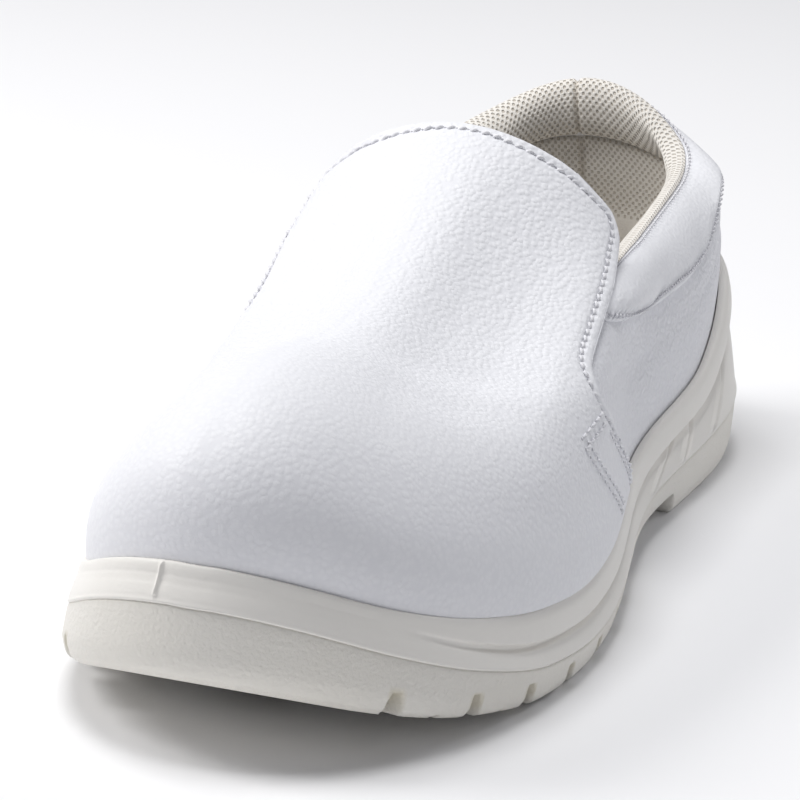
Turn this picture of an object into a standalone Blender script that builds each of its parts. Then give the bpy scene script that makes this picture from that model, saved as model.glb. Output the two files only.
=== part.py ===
"""A left slip-on safety shoe: a tread unit, a cupped midsole, a hollow last-shaped upper,
a vamp that runs up into a tongue flap, a padded collar, an insole and an oval badge.
The toe points to -Y, the wearer's left is +X, and the sole stands on z = 0."""

import bpy
import bmesh
import numpy as np

# Driving dimensions in millimetres.
MM = 0.001
LENGTH = 286.0
TOE_X = -19.0
AROUND = 80
GAP = 0.3
WALL = 2.0
VAMP_SHEET = 1.8
VAMP_EASE = 0.7
UPPER_ROWS = 14
INNER_ROWS = 6
VAMP_COLUMNS = 41
INSOLE = 3.5
COLLAR_THICK = 8.0
COLLAR_LIFT = 1.6
THROAT_BACK_X = -4.5
THROAT_FRONT_X = -10.0
WAIST_RISE = 6.0
LIP_FADES = 0.72
LIP_ENDS = 0.89
TOE_SLOPE = 1.2
LUG_DEPTH = 3.4
GROOVE = 3.0
RIM_LUG = 16.0
BADGE_LONG = 15.0
BADGE_WIDE = 9.5
BADGE_AT = 0.405

# Sole outline: station from the heel, lateral edge, medial edge.
PLAN = (
    (0.0105, 19.0, -18.4),
    (0.052, 34.9, -33.2),
    (0.115, 42.5, -40.3),
    (0.21, 43.7, -41.2),
    (0.31, 41.2, -36.0),
    (0.39, 39.6, -33.4),
    (0.47, 41.4, -36.6),
    (0.56, 45.2, -46.0),
    (0.65, 47.2, -52.8),
    (0.74, 45.4, -55.2),
    (0.83, 39.2, -54.4),
    (0.905, 29.4, -49.4),
    (0.96, 15.4, -40.4),
)

# Heights along the sole: station, tread face, parting line, feather line, shelf under the
# foot, and how far the ledge at the feather line sits inside the outline.
LEVELS = (
    (0.00, 3.0, 19.0, 48.5, 23.0, 7.4),
    (0.05, 0.0, 17.0, 47.8, 22.8, 7.2),
    (0.11, 0.0, 15.0, 43.5, 22.4, 6.8),
    (0.17, 0.0, 13.6, 33.6, 21.6, 6.2),
    (0.23, 0.0, 12.6, 27.4, 20.6, 5.4),
    (0.33, 0.0, 11.2, 24.6, 18.4, 4.6),
    (0.45, 0.0, 9.4, 20.8, 15.4, 4.4),
    (0.57, 0.0, 7.6, 18.8, 13.6, 4.8),
    (0.68, 0.0, 6.8, 18.4, 13.2, 5.0),
    (0.77, 0.8, 8.6, 20.2, 15.0, 5.6),
    (0.86, 4.6, 14.6, 24.8, 19.8, 6.8),
    (0.93, 10.0, 22.0, 30.6, 26.6, 7.4),
    (1.00, 18.0, 32.4, 40.0, 35.6, 7.8),
)
TREAD, PARTING, FEATHER, SHELF, LEDGE = 1, 2, 3, 4, 5

# Upper, by the way round each side from heel (0) to toe (1): angle on the throat, inset and
# rise of the wall, then share of the way to the throat, rise and inward draw at the girth.
ROUND = (
    (0.0, 0.0, 0.5, 11.0, 0.50, 21.0, 0.0),
    (0.1, 38.0, 0.6, 12.0, 0.35, 22.0, 0.0),
    (0.2, 66.0, 0.6, 14.0, 0.40, 30.0, 0.0),
    (0.3, 88.0, 0.5, 14.0, 0.40, 32.0, 0.0),
    (0.4, 108.0, 0.8, 15.0, 0.40, 34.5, 0.0),
    (0.5, 124.0, 1.5, 15.5, 0.42, 36.8, 0.0),
    (0.6, 138.0, 2.6, 16.5, 0.43, 36.4, 0.5),
    (0.7, 150.0, 3.4, 17.5, 0.43, 34.4, 2.0),
    (0.8, 161.0, 3.2, 17.5, 0.43, 30.2, 7.0),
    (0.9, 171.0, 3.6, 17.5, 0.43, 27.4, 9.6),
    (1.0, 180.0, 5.0, 17.5, 0.43, 25.2, 7.0),
)

# Throat opening: angle from the back, half width, distance along the shoe, height.
THROAT = (
    (0.0, 0.0, 135.0, 82.0),
    (20.0, 12.0, 133.0, 79.5),
    (45.0, 24.0, 124.0, 73.0),
    (70.0, 30.5, 107.0, 69.0),
    (95.0, 32.0, 82.0, 67.0),
    (115.0, 32.5, 60.0, 66.5),
    (135.0, 32.5, 42.0, 69.5),
    (150.0, 30.0, 32.0, 76.0),
    (165.0, 18.0, 27.0, 85.0),
    (180.0, 0.0, 25.5, 89.5),
)

# Edge of the vamp from the sole to the crown of the flap: way round, way up the upper.
VAMP_EDGE = (
    (0.446, 0.0),
    (0.545, 0.29),
    (0.618, 0.42),
    (0.650, 0.54),
    (0.645, 0.67),
    (0.641, 0.79),
    (0.641, 0.91),
    (0.680, 1.00),
    (0.780, 1.025),
)
FLAP_CROWN = 1.025
SHELL_FRONT = 0.995

# Lower seam of the padded collar: way round, way up the upper.
COLLAR_SEAM = (
    (0.00, 0.58),
    (0.12, 0.57),
    (0.20, 0.55),
    (0.30, 0.48),
    (0.42, 0.50),
    (0.55, 0.58),
    (0.66, 0.68),
    (0.74, 0.90),
)
COLLAR_STEPS = 28

# Upper edge of the padded collar, which drops to the flap: way round, way up the upper.
COLLAR_TOP = (
    (0.00, 1.00),
    (0.25, 1.00),
    (0.40, 0.97),
    (0.50, 0.93),
    (0.60, 0.88),
    (0.66, 0.86),
    (0.74, 0.95),
)

# Outward bulge of the padded roll past the upper's surface: way round, bulge.
COLLAR_BULGE = (
    (0.00, 2.4),
    (0.16, 2.4),
    (0.30, 3.8),
    (0.45, 4.2),
    (0.60, 2.2),
    (0.68, 1.0),
    (0.74, 0.5),
)

# Rim grooves by station on each side, sunk panels of the forefoot, and the heel's basin.
RIM_GROOVES = (0.07, 0.145, 0.235, 0.53, 0.597, 0.664, 0.731, 0.798, 0.865, 0.932)
PANELS = ((0.50, 0.555), (0.566, 0.634), (0.645, 0.722), (0.733, 0.81))
LEAF = ((0.49, 1.0), (0.56, 8.0), (0.66, 12.5), (0.76, 12.0), (0.86, 7.0))
HEEL_BASIN = ((0.125, 4.0), (0.14, 8.5), (0.17, 11.0), (0.21, 9.5), (0.255, 6.0), (0.295, 1.5))
HEEL_ARCS = (9.0, 18.5)
LEAF_SLOTS = (0.605, 0.685, 0.765)

# Slanting flutes on the heel's wall: turn and height share at the top, then at the foot.
FLUTES = ((0.085, 0.86, 0.135, 0.12), (0.140, 0.84, 0.190, 0.12), (0.190, 0.80, 0.245, 0.14))
FLUTE_HALF = 0.009
FLUTE_DEPTH = 1.4


def monotone(rows, column, at, level_ends=False):
    """Smooth curve through one column of a table that never swings past its rows."""
    table = np.array(rows, float)
    x, y = table[:, 0], table[:, column]
    step = np.diff(x)
    slope = np.diff(y) / step
    tangent = np.zeros(len(x))
    same = slope[:-1] * slope[1:] > 0
    a = 2 * step[1:] + step[:-1]
    b = step[1:] + 2 * step[:-1]
    safe = np.where(same, slope[:-1], 1.0), np.where(same, slope[1:], 1.0)
    tangent[1:-1] = np.where(same, (a + b) / (a / safe[0] + b / safe[1]), 0.0)
    if not level_ends:
        tangent[0] = slope[0]
        tangent[-1] = slope[-1]
    at = np.clip(at, x[0], x[-1])
    i = np.clip(np.searchsorted(x, at, side="right") - 1, 0, len(step) - 1)
    t = (at - x[i]) / step[i]
    rise = y[i] * (1 + 2 * t) * (1 - t) ** 2 + y[i + 1] * t * t * (3 - 2 * t)
    return rise + step[i] * (tangent[i] * t * (1 - t) ** 2 + tangent[i + 1] * t * t * (t - 1))


def loop_spline(knots, values, at, period):
    """Cubic through closed rows, the second derivatives solved once round the loop."""
    n = len(knots)
    step = np.diff(np.append(knots, knots[0] + period))
    slope = (np.roll(values, -1, 0) - values) / step[:, None]
    i = np.arange(n)
    matrix = np.zeros((n, n))
    matrix[i, i] = 2 * (step + np.roll(step, 1))
    matrix[i, (i + 1) % n] += step
    matrix[i, (i - 1) % n] += np.roll(step, 1)
    bend = np.linalg.solve(matrix, 6 * (slope - np.roll(slope, 1, 0)))
    x = (at - knots[0]) % period + knots[0]
    j = np.clip(np.searchsorted(knots, x, side="right") - 1, 0, n - 1)
    k = (j + 1) % n
    h = step[j][:, None]
    a = (x - knots[j])[:, None]
    b = h - a
    ends = (values[j] / h - bend[j] * h / 6) * b + (values[k] / h - bend[k] * h / 6) * a
    return ends + (bend[j] * b**3 + bend[k] * a**3) / (6 * h)


def sides(r):
    """Way from heel to toe and side (+1 lateral, -1 medial) for a turn r in 0 to 2."""
    r = np.mod(r, 2.0)
    return np.where(r <= 1, r, 2 - r), np.where(r <= 1, 1.0, -1.0)


def station(y):
    """Station from the heel for a distance along the shoe."""
    return 0.5 - np.asarray(y) / LENGTH


def outline_points(r):
    """Points on the sole's outline for turns r: 0 is the heel's back and 1 the toe's tip."""
    rows = np.array(PLAN)
    along = LENGTH * (0.5 - rows[:, 0])
    lateral = np.c_[rows[:, 1], along]
    medial = np.c_[rows[:, 2], along][::-1]
    corners = np.vstack(([[0, LENGTH / 2]], lateral, [[TOE_X, -LENGTH / 2]], medial))
    chords = np.diff(np.vstack((corners, corners[:1])), axis=0)
    reach = np.append(0, np.cumsum(np.hypot(chords[:, 0], chords[:, 1])))
    toe = reach[len(lateral) + 1]
    r = np.mod(r, 2.0)
    at = np.where(r <= 1, r * toe, toe + (r - 1) * (reach[-1] - toe))
    return loop_spline(reach[:-1], corners, at, reach[-1])


def outline(r):
    """Outline points and their outward normals."""
    r = np.asarray(r, float)
    tangent = outline_points(r + 0.004) - outline_points(r - 0.004)
    normal = np.c_[-tangent[:, 1], tangent[:, 0]]
    return outline_points(r), normal / np.linalg.norm(normal, axis=1)[:, None]


def sole_ring(r, inset, height):
    """Ring round the sole, set in from its outline and at the heights given."""
    points, normal = outline(r)
    return np.c_[points - normal * np.reshape(inset, (-1, 1)), height]


def levels(r, column):
    """One column of the sole's heights at the turns r."""
    return monotone(LEVELS, column, station(outline_points(r)[:, 1]))


def throat(r):
    """Points on the throat opening, the curve in which the upper ends."""
    way, side = sides(r)
    angle = monotone(ROUND, 1, way)
    half = np.array(THROAT)
    other = half[-2:0:-1] * [1, -1, 1, 1]
    other[:, 0] = 360 - other[:, 0]
    rows = np.vstack((half, other))
    points = loop_spline(rows[:, 0], rows[:, 1:], np.where(side > 0, angle, 360 - angle), 360)
    turn = 0.5 - 0.5 * np.cos(np.radians(angle))
    points[:, 0] += THROAT_BACK_X + (THROAT_FRONT_X - THROAT_BACK_X) * turn
    return points


def last(r, v):
    """The upper's outer surface. Each line runs from the feather line (v = 0) by the wall and
    the girth to the throat (v = 1), a cubic that leaves the sole upright."""
    r = np.asarray(r, float)
    v = np.asarray(v, float)
    way, side = sides(r)
    points, normal = outline(r)
    feather = levels(r, FEATHER)
    inset, rise, share, girth, draw = (monotone(ROUND, c, way, True) for c in range(2, 7))
    end = throat(r)
    foot = np.c_[points - normal * (levels(r, LEDGE) + GAP)[:, None], feather]
    wall = np.c_[foot[:, :2] - normal * inset[:, None], feather + rise]
    toward = (end - foot)[:, :2] * share[:, None] - normal * draw[:, None]
    waist = np.c_[foot[:, :2] + toward, feather + girth]
    knots = np.stack((foot, wall, waist, end), 1)
    step = np.linalg.norm(np.diff(knots, axis=1), axis=2)
    slope = np.diff(knots, axis=1) / step[:, :, None]
    start = np.c_[normal * 0.10, np.ones(len(r))]
    matrix = np.zeros((len(r), 4, 4))
    pull = np.zeros((len(r), 4, 3))
    matrix[:, 0, 0] = 2 * step[:, 0]
    matrix[:, 0, 1] = step[:, 0]
    pull[:, 0] = 6 * (slope[:, 0] - start)
    for j in (1, 2):
        matrix[:, j, j - 1] = step[:, j - 1]
        matrix[:, j, j] = 2 * (step[:, j - 1] + step[:, j])
        matrix[:, j, j + 1] = step[:, j]
        pull[:, j] = 6 * (slope[:, j] - slope[:, j - 1])
    matrix[:, 3, 3] = 1
    bend = np.linalg.solve(matrix, pull)
    reach = np.c_[np.zeros(len(r)), np.cumsum(step, axis=1)]
    x = v * reach[:, 3]
    j = (x[:, None] >= reach[:, 1:3]).sum(1)
    i = np.arange(len(r))
    h = step[i, j][:, None]
    a = (x - reach[i, j])[:, None]
    b = h - a
    ends = (knots[i, j] / h - bend[i, j] * h / 6) * b
    ends += (knots[i, j + 1] / h - bend[i, j + 1] * h / 6) * a
    return ends + (bend[i, j] * b**3 + bend[i, j + 1] * a**3) / (6 * h)


def last_normal(r, v):
    """Outward normal of the upper's surface."""
    d = 0.003
    across = last(np.asarray(r) + d, v) - last(np.asarray(r) - d, v)
    upward = last(r, np.asarray(v) + d) - last(r, np.asarray(v) - d)
    normal = np.cross(upward, across)
    return normal / np.linalg.norm(normal, axis=1)[:, None]


def skin(r, v, out):
    """Points a distance outside the upper's surface."""
    return last(r, v) + last_normal(r, v) * np.reshape(out, (-1, 1))


def material(name, colour, roughness):
    made = bpy.data.materials.new(name)
    made.use_nodes = True
    shader = made.node_tree.nodes["Principled BSDF"]
    shader.inputs["Base Color"].default_value = (*colour, 1.0)
    shader.inputs["Roughness"].default_value = roughness
    shader.inputs["Metallic"].default_value = 0.0
    return made


def solid(name, points, faces, slot=None):
    """Closed body from points in millimetres, its faces turned outwards. It is moved
    sideways so that the middle of the sole's outline stands over the origin."""
    mesh = bpy.data.meshes.new(name)
    edge = outline_points(np.linspace(0, 2, 721))[:, 0]
    middle = 0.5 * (edge.max() + edge.min())
    placed = (np.asarray(points) - (middle, 0, 0)) * MM
    mesh.from_pydata(placed.tolist(), [], [list(map(int, f)) for f in faces])
    shape = bmesh.new()
    shape.from_mesh(mesh)
    bmesh.ops.triangulate(shape, faces=shape.faces)
    bmesh.ops.recalc_face_normals(shape, faces=shape.faces)
    shape.to_mesh(mesh)
    shape.free()
    body = bpy.data.objects.new(name, mesh)
    bpy.context.scene.collection.objects.link(body)
    if slot:
        mesh.materials.append(slot)
    else:
        body.hide_render = True
        body.display_type = "WIRE"
    return body


def band(rows, n, start=0, loop=False):
    """Faces between rings of n points, the last ring joined to the first on a loop."""
    faces = []
    for i in range(rows if loop else rows - 1):
        low = start + i * n
        high = start + (i + 1) % rows * n
        for k in range(n):
            faces.append((low + k, low + (k + 1) % n, high + (k + 1) % n, high + k))
    return faces


def ladder(start, n):
    """Faces across a ring, each rung joining the two sides at the same way from the heel."""
    half = n // 2
    faces = [(start, start + 1, start + n - 1)]
    for k in range(1, half - 1):
        faces.append((start + k, start + k + 1, start + n - k - 1, start + n - k))
    faces.append((start + half - 1, start + half, start + half + 1))
    return faces


def stack(name, rings, slot):
    """Body of stacked rings, closed across its first and last ring."""
    n = len(rings[0])
    faces = band(len(rings), n) + ladder(0, n) + ladder((len(rings) - 1) * n, n)
    return solid(name, np.vstack(rings), faces, slot)


def strip(low, high):
    """Points and faces of a body between two grids, rows by columns, closed at its edge."""
    rows, cols = low.shape[:2]
    size = rows * cols
    index = np.arange(size).reshape(rows, cols)
    edge = np.concatenate((index[0], index[1:, -1], index[-1, -2::-1], index[-2:0:-1, 0]))
    faces = []
    for i in range(rows - 1):
        for k in range(cols - 1):
            cell = (index[i, k], index[i, k + 1], index[i + 1, k + 1], index[i + 1, k])
            faces.append(cell)
            faces.append(tuple(size + c for c in reversed(cell)))
    for a, b in zip(edge, np.roll(edge, -1)):
        faces.append((b, a, size + a, size + b))
    return np.vstack((low.reshape(-1, 3), high.reshape(-1, 3))), faces


def cut(body, cutters):
    """Takes the cutters out of the body, one exact Boolean each."""
    for cutter in cutters:
        step = body.modifiers.new(cutter.name, "BOOLEAN")
        step.operation = "DIFFERENCE"
        step.solver = "EXACT"
        step.object = cutter
    weld = body.modifiers.new("weld", "WELD")
    weld.merge_threshold = 0.00003


def tread_slab(x_low, x_high, along, depth):
    """Cutter below the tread: a strip between two edges, sunk a depth into its face."""
    face = monotone(LEVELS, TREAD, station(along))
    flat = np.stack((np.c_[x_low, along], np.c_[x_high, along]), 1)
    low = np.dstack((flat, np.stack((face - 4, face - 4), 1)))
    high = np.dstack((flat, np.stack((face + depth, face + depth), 1)))
    return strip(low, high)


def rim_groove(at, side):
    """Cutter for one groove that opens through the rim, square to the outline."""
    turns = np.linspace(0, 1, 401)
    r = turns if side > 0 else 2 - turns
    points, normal = outline(r)
    i = np.argmin(np.abs(station(points[:, 1]) - at))
    inward = -normal[i]
    tangent = np.array((inward[1], -inward[0]))
    reach = np.array((-4.0, RIM_LUG))
    centre = points[i] + inward * reach[:, None]
    half = np.array((GROOVE * 0.6, GROOVE * 0.4))[:, None] * tangent
    flat = np.stack((centre - half, centre + half), 1)
    face = monotone(LEVELS, TREAD, station(flat[..., 1]))
    return strip(np.dstack((flat, face - 4)), np.dstack((flat, face + LUG_DEPTH)))


def rim_edge(s, inset, side):
    """Sideways place of the outline set in, at the stations given."""
    turns = np.linspace(0.02, 0.98, 300)
    points, normal = outline(turns if side > 0 else 2 - turns)
    inner = points - normal * inset
    order = np.argsort(station(inner[:, 1]))
    return np.interp(s, station(inner[order, 1]), inner[order, 0])


def foot_axis(s):
    """Sideways place of the tread's middle line."""
    return 0.5 * (rim_edge(s, RIM_LUG, 1) + rim_edge(s, RIM_LUG, -1))


def heel_arc(inset):
    """Cutter for a thin groove that follows the heel's back."""
    r = np.linspace(-0.115, 0.115, 15)
    points, normal = outline(r)
    flat = np.stack((points - normal * (inset - 0.7), points - normal * (inset + 0.7)), 1)
    face = monotone(LEVELS, TREAD, station(flat[..., 1]))
    return strip(np.dstack((flat, face - 4)), np.dstack((flat, face + 1.6)))


def slot_cut(at, long, wide, turn):
    """Cutter for a slanting slot in the tread's middle leaf."""
    y = LENGTH * (0.5 - at)
    x = foot_axis(np.array([at]))[0]
    c, s = np.cos(np.radians(turn)), np.sin(np.radians(turn))
    square = np.array((((-1, -1), (1, -1)), ((-1, 1), (1, 1)))) * (wide / 2, long / 2)
    flat = square @ np.array(((c, s), (-s, c))) + (x, y)
    face = monotone(LEVELS, TREAD, station(flat[..., 1]))
    return strip(np.dstack((flat, face - 4)), np.dstack((flat, face + 2.6)))


def waist_cutter():
    """Cutter that lifts the waist off the floor between the heel's breast and the ball."""
    profile = ((0.302, -5.2), (0.318, WAIST_RISE), (0.462, WAIST_RISE), (0.492, -5.2))
    along = np.array([LENGTH * (0.5 - s) for s, _ in profile])
    rise = np.array([z for _, z in profile])
    low = np.stack([np.c_[np.full(4, x), along, np.full(4, -5.5)] for x in (-70, 70)], 1)
    high = np.stack([np.c_[np.full(4, x), along, rise] for x in (-70, 70)], 1)
    return solid("cut_waist", *strip(low, high))


def tread_cutter():
    """Rim grooves, sunk panels, heel basin, heel arcs and leaf slots as one cutter."""
    made = []
    for side in (1, -1):
        made += [rim_groove(at, side) for at in RIM_GROOVES]
        for start, end in PANELS:
            s = np.linspace(start, end, 5)
            inner = foot_axis(s) + side * (monotone(LEAF, 1, s) + 2.0)
            outer = rim_edge(s, RIM_LUG + 2.5, side)
            made.append(tread_slab(inner, outer, LENGTH * (0.5 - s), 2.4))
    s = np.linspace(HEEL_BASIN[0][0], HEEL_BASIN[-1][0], 12)
    half = monotone(HEEL_BASIN, 1, s)
    made.append(tread_slab(-half, half, LENGTH * (0.5 - s), 2.4))
    made += [heel_arc(inset) for inset in HEEL_ARCS]
    made += [slot_cut(at, 19.0, 4.5, 32.0) for at in LEAF_SLOTS]
    return joined("cut_tread", made)


def oval(along, wide, n=30):
    turn = np.linspace(0, 2 * np.pi, n, endpoint=False)
    centre = LENGTH * (0.5 - BADGE_AT)
    middle = foot_axis(np.array([BADGE_AT]))[0]
    return np.c_[middle + wide * np.sin(turn), centre + along * np.cos(turn)]


def build_outsole(slot):
    r = np.arange(AROUND) * 2 / AROUND
    tread = levels(r, TREAD)
    parting = levels(r, PARTING)
    toe = toe_share(r)
    rings = (
        sole_ring(r, 2.4, tread),
        sole_ring(r, 1.0, tread + 1.5),
        sole_ring(r, 0.3 * (1 - toe), tread + 4.5),
        sole_ring(r, TOE_SLOPE * toe, parting - 0.8),
        sole_ring(r, TOE_SLOPE * toe + 0.5, parting),
    )
    body = stack("outsole", rings, slot)
    flat = oval(BADGE_LONG + GAP, BADGE_WIDE + GAP)
    rings = [np.c_[flat, np.full(len(flat), z)] for z in (3.0, 7.5)]
    cut(body, (waist_cutter(), tread_cutter(), stack("cut_badge", rings, None)))
    return body


def build_badge(slot):
    ring = oval(BADGE_LONG, BADGE_WIDE)
    small = oval(BADGE_LONG - 0.8, BADGE_WIDE - 0.8)
    flat = np.zeros((len(ring), 1))
    rings = (np.c_[small, flat + 5.2], np.c_[ring, flat + 5.7], np.c_[ring, flat + 7.5 - GAP])
    return stack("badge", rings, slot)


def toe_share(r):
    """How far the lip under the feather line has gone over into the toe's plain slope."""
    way, _ = sides(r)
    toe = np.clip((way - LIP_FADES) / (LIP_ENDS - LIP_FADES), 0, 1)
    return toe * toe * (3 - 2 * toe)


def heel_share(r):
    """Share of the heel's deeper wall, from all of it at the back to none half way round."""
    return np.clip(1 - sides(r)[0] / 0.5, 0, 1)


def midsole_wall(r):
    """Heights and insets of the midsole's outer wall, from the parting line to the lip."""
    ledge = levels(r, LEDGE)
    toe = toe_share(r)
    heel = heel_share(r)
    low = levels(r, PARTING) + GAP + 0.9
    under = levels(r, FEATHER) - 6.8 + 4.0 * toe
    belly = (0.16 + 0.14 * heel + 0.18 * toe) * ledge + 0.9 * (1 - toe)
    neck = (0.29 + 0.31 * heel + 0.21 * toe) * ledge + 1.3 * (1 - toe)
    return low, low + 0.62 * (under - low), under, belly, neck


def flute(r_top, top, r_foot, foot, side):
    """Cutter for one slanting flute, a lens that follows the heel's wall."""
    t = np.linspace(0, 1, 7)
    middle = r_top + (r_foot - r_top) * t
    share = top + (foot - top) * t
    half = FLUTE_HALF * np.sin(np.pi * (0.06 + 0.88 * t))
    grids = ([], [])
    for edge in (-1, 1):
        turn = middle + edge * half
        r = turn if side > 0 else 2 - turn
        low, knee, under, belly, neck = midsole_wall(r)
        z = low + share * (under - low)
        above = np.clip((z - knee) / (under - knee), 0, 1)
        inset = belly * np.clip((z - low) / (knee - low), 0, 1) + (neck - belly) * above
        grids[0].append(sole_ring(r, inset - 5.0, z))
        grids[1].append(sole_ring(r, inset + FLUTE_DEPTH * np.sin(np.pi * (0.1 + 0.8 * t)), z))
    return strip(np.stack(grids[0], 1), np.stack(grids[1], 1))


def joined(name, made):
    """One cutter from several separate bodies."""
    points = []
    faces = []
    for more, around in made:
        start = len(points)
        points += list(more)
        faces += [tuple(start + i for i in face) for face in around]
    return solid(name, points, faces)


def build_midsole(slot):
    r = np.arange(AROUND) * 2 / AROUND
    feather = levels(r, FEATHER)
    ledge = levels(r, LEDGE)
    low, knee, under, belly, neck = midsole_wall(r)
    heel = heel_share(r)
    toe = toe_share(r)
    rings = (
        sole_ring(r, TOE_SLOPE * toe + 0.5, low - 0.9),
        sole_ring(r, TOE_SLOPE * toe, low),
        sole_ring(r, belly, knee),
        sole_ring(r, neck, under - 0.3),
        sole_ring(r, (0.28 + 0.31 * heel + 0.24 * toe) * ledge, under + 0.5),
        sole_ring(r, (0.36 + 0.34 * heel + 0.24 * toe) * ledge, feather - 1.3),
        sole_ring(r, (0.58 + 0.28 * heel + 0.20 * toe) * ledge, feather - 0.1),
        sole_ring(r, ledge, feather - 0.2),
        sole_ring(r, ledge, levels(r, SHELF)),
    )
    body = stack("midsole", rings, slot)
    cut(body, [joined("cut_flutes", [flute(*row, side) for row in FLUTES for side in (1, -1)])])
    return body


def upper_end(r):
    """Way up the upper at which its shell stops: below the collar, and just under the flap."""
    way, _ = sides(r)
    seam = monotone(COLLAR_SEAM, 1, way, True)
    return np.where(way < COLLAR_SEAM[-1][0], seam, np.minimum(SHELL_FRONT, seam + (way - 0.74) * 1.4))


def upper_rows(count):
    """Shares of the way up, closer together on the toe's wall and shoulder."""
    return np.linspace(0.0, 1.0, count) ** 1.35


def build_upper(slot):
    r = np.arange(AROUND) * 2 / AROUND
    top = upper_end(r)
    base = levels(r, SHELF) + GAP
    ledge = levels(r, LEDGE) + GAP
    outer = [sole_ring(r, ledge, base)]
    outer += [skin(r, top * s, 0.0) for s in upper_rows(UPPER_ROWS)]
    inner = [skin(r, top * s, -WALL) for s in upper_rows(INNER_ROWS)[::-1]]
    inner.append(sole_ring(r, ledge + WALL, base))
    rings = outer + inner
    return solid("upper", np.vstack(rings), band(len(rings), AROUND, 0, True), slot)


def build_vamp(slot):
    """Vamp and tongue flap in one sheet over the upper, lifted clear of the collar's ends."""
    edge = np.array(VAMP_EDGE)
    reach = np.append(0, np.cumsum(np.linalg.norm(np.diff(edge, axis=0), axis=1)))
    rows = np.c_[reach / reach[-1], edge]
    b = np.append(upper_rows(UPPER_ROWS) * SHELL_FRONT / FLAP_CROWN, 1.0)
    edge_way = monotone(rows, 1, b)[:, None]
    edge_up = monotone(rows, 2, b)[:, None]
    a = np.linspace(-1, 1, VAMP_COLUMNS)
    across = np.abs(a)
    way = 1 - (1 - edge_way) * across
    up = FLAP_CROWN * b[:, None] * (1 - across**2) + edge_up * across**2
    shape = way.shape
    roll = monotone(COLLAR_BULGE, 1, way, True) * np.clip((up - 0.60) / 0.16, 0, 1)
    roll = roll * np.clip((0.84 - way) / 0.10, 0, 1)
    inside = np.clip((1 - across) / 0.2, 0, 1)
    lift = (GAP + VAMP_EASE * (0.5 + 0.5 * inside) + roll).ravel()
    turns = np.where(a >= 0, way, 2 - way).ravel()
    low = skin(turns, up.ravel(), lift)
    high = skin(turns, up.ravel(), lift + VAMP_SHEET)
    floor = levels(turns, FEATHER) + GAP
    for grid in (low, high):
        grid[:, 2] = np.maximum(grid[:, 2], floor)
    return solid("vamp", *strip(low.reshape(*shape, 3), high.reshape(*shape, 3)), slot)


def build_collar(slot):
    """Padded roll from ear to ear round the back, seated on the upper's edge."""
    step = 2 / AROUND
    turns = np.arange(-COLLAR_STEPS, COLLAR_STEPS + 1) * step
    way = np.abs(turns)
    seam = upper_end(turns)
    foot = last(turns, seam)
    head = last(turns, monotone(COLLAR_TOP, 1, way, True))
    normal = last_normal(turns, seam)
    rise = head - foot
    tall = np.linalg.norm(rise, axis=1)
    rise /= tall[:, None]
    taper = np.clip((way[-1] + 0.5 * step - way) / 0.22, 0.25, 1.0)
    seat = GAP + COLLAR_LIFT * (1 - taper)
    tall = tall - seat
    bulge = monotone(COLLAR_BULGE, 1, way, True)
    thick = COLLAR_THICK * taper
    centre = foot + rise * (seat + tall / 2)[:, None] + normal * (bulge - thick / 2)[:, None]
    turn = np.linspace(0, 2 * np.pi, 10, endpoint=False)
    up = np.sign(np.cos(turn)) * np.abs(np.cos(turn)) ** 0.75
    out = np.sign(np.sin(turn)) * np.abs(np.sin(turn)) ** 0.85
    rings = [
        centre + rise * (tall / 2 * u)[:, None] + normal * (thick / 2 * o)[:, None]
        for u, o in zip(up, out)
    ]
    tube = np.stack(rings, 1)
    count, n = tube.shape[:2]
    faces = band(count, n)
    faces.append(tuple(range(n)))
    faces.append(tuple(range((count - 1) * n, count * n)))
    return solid("collar", tube.reshape(-1, 3), faces, slot)


def build_insole(slot):
    r = np.arange(0, AROUND, 2) * 2 / AROUND
    inset = levels(r, LEDGE) + WALL + 3 * GAP
    base = levels(r, SHELF) + GAP
    rings = (
        sole_ring(r, inset, base),
        sole_ring(r, inset, base + INSOLE - 1.0),
        sole_ring(r, inset + 1.0, base + INSOLE),
    )
    return stack("insole", rings, slot)


def main():
    for old in list(bpy.data.objects):
        bpy.data.objects.remove(old, do_unlink=True)
    build_outsole(material("outsole", (0.80, 0.78, 0.71), 0.55))
    build_badge(material("badge", (0.02, 0.10, 0.36), 0.30))
    build_midsole(material("midsole", (0.82, 0.80, 0.74), 0.45))
    build_upper(material("upper", (0.86, 0.86, 0.89), 0.50))
    build_vamp(material("vamp", (0.88, 0.88, 0.91), 0.45))
    build_collar(material("collar", (0.86, 0.86, 0.89), 0.50))
    build_insole(material("insole", (0.72, 0.69, 0.62), 0.85))


main()
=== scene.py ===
# %% [markdown]
# This lesson dresses a left slip-on safety shoe that was first built as plain solids. The solids
# carry the true form of the last, so every piece here is worked out from the same short tables of
# sizes and lands on its solid with no fitting. Lengths in the tables are millimetres, the toe
# points to -Y, the wearer's left is +X, and the sole stands on z = 0.

import bpy
import numpy as np
from mathutils import Matrix, Vector


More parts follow.
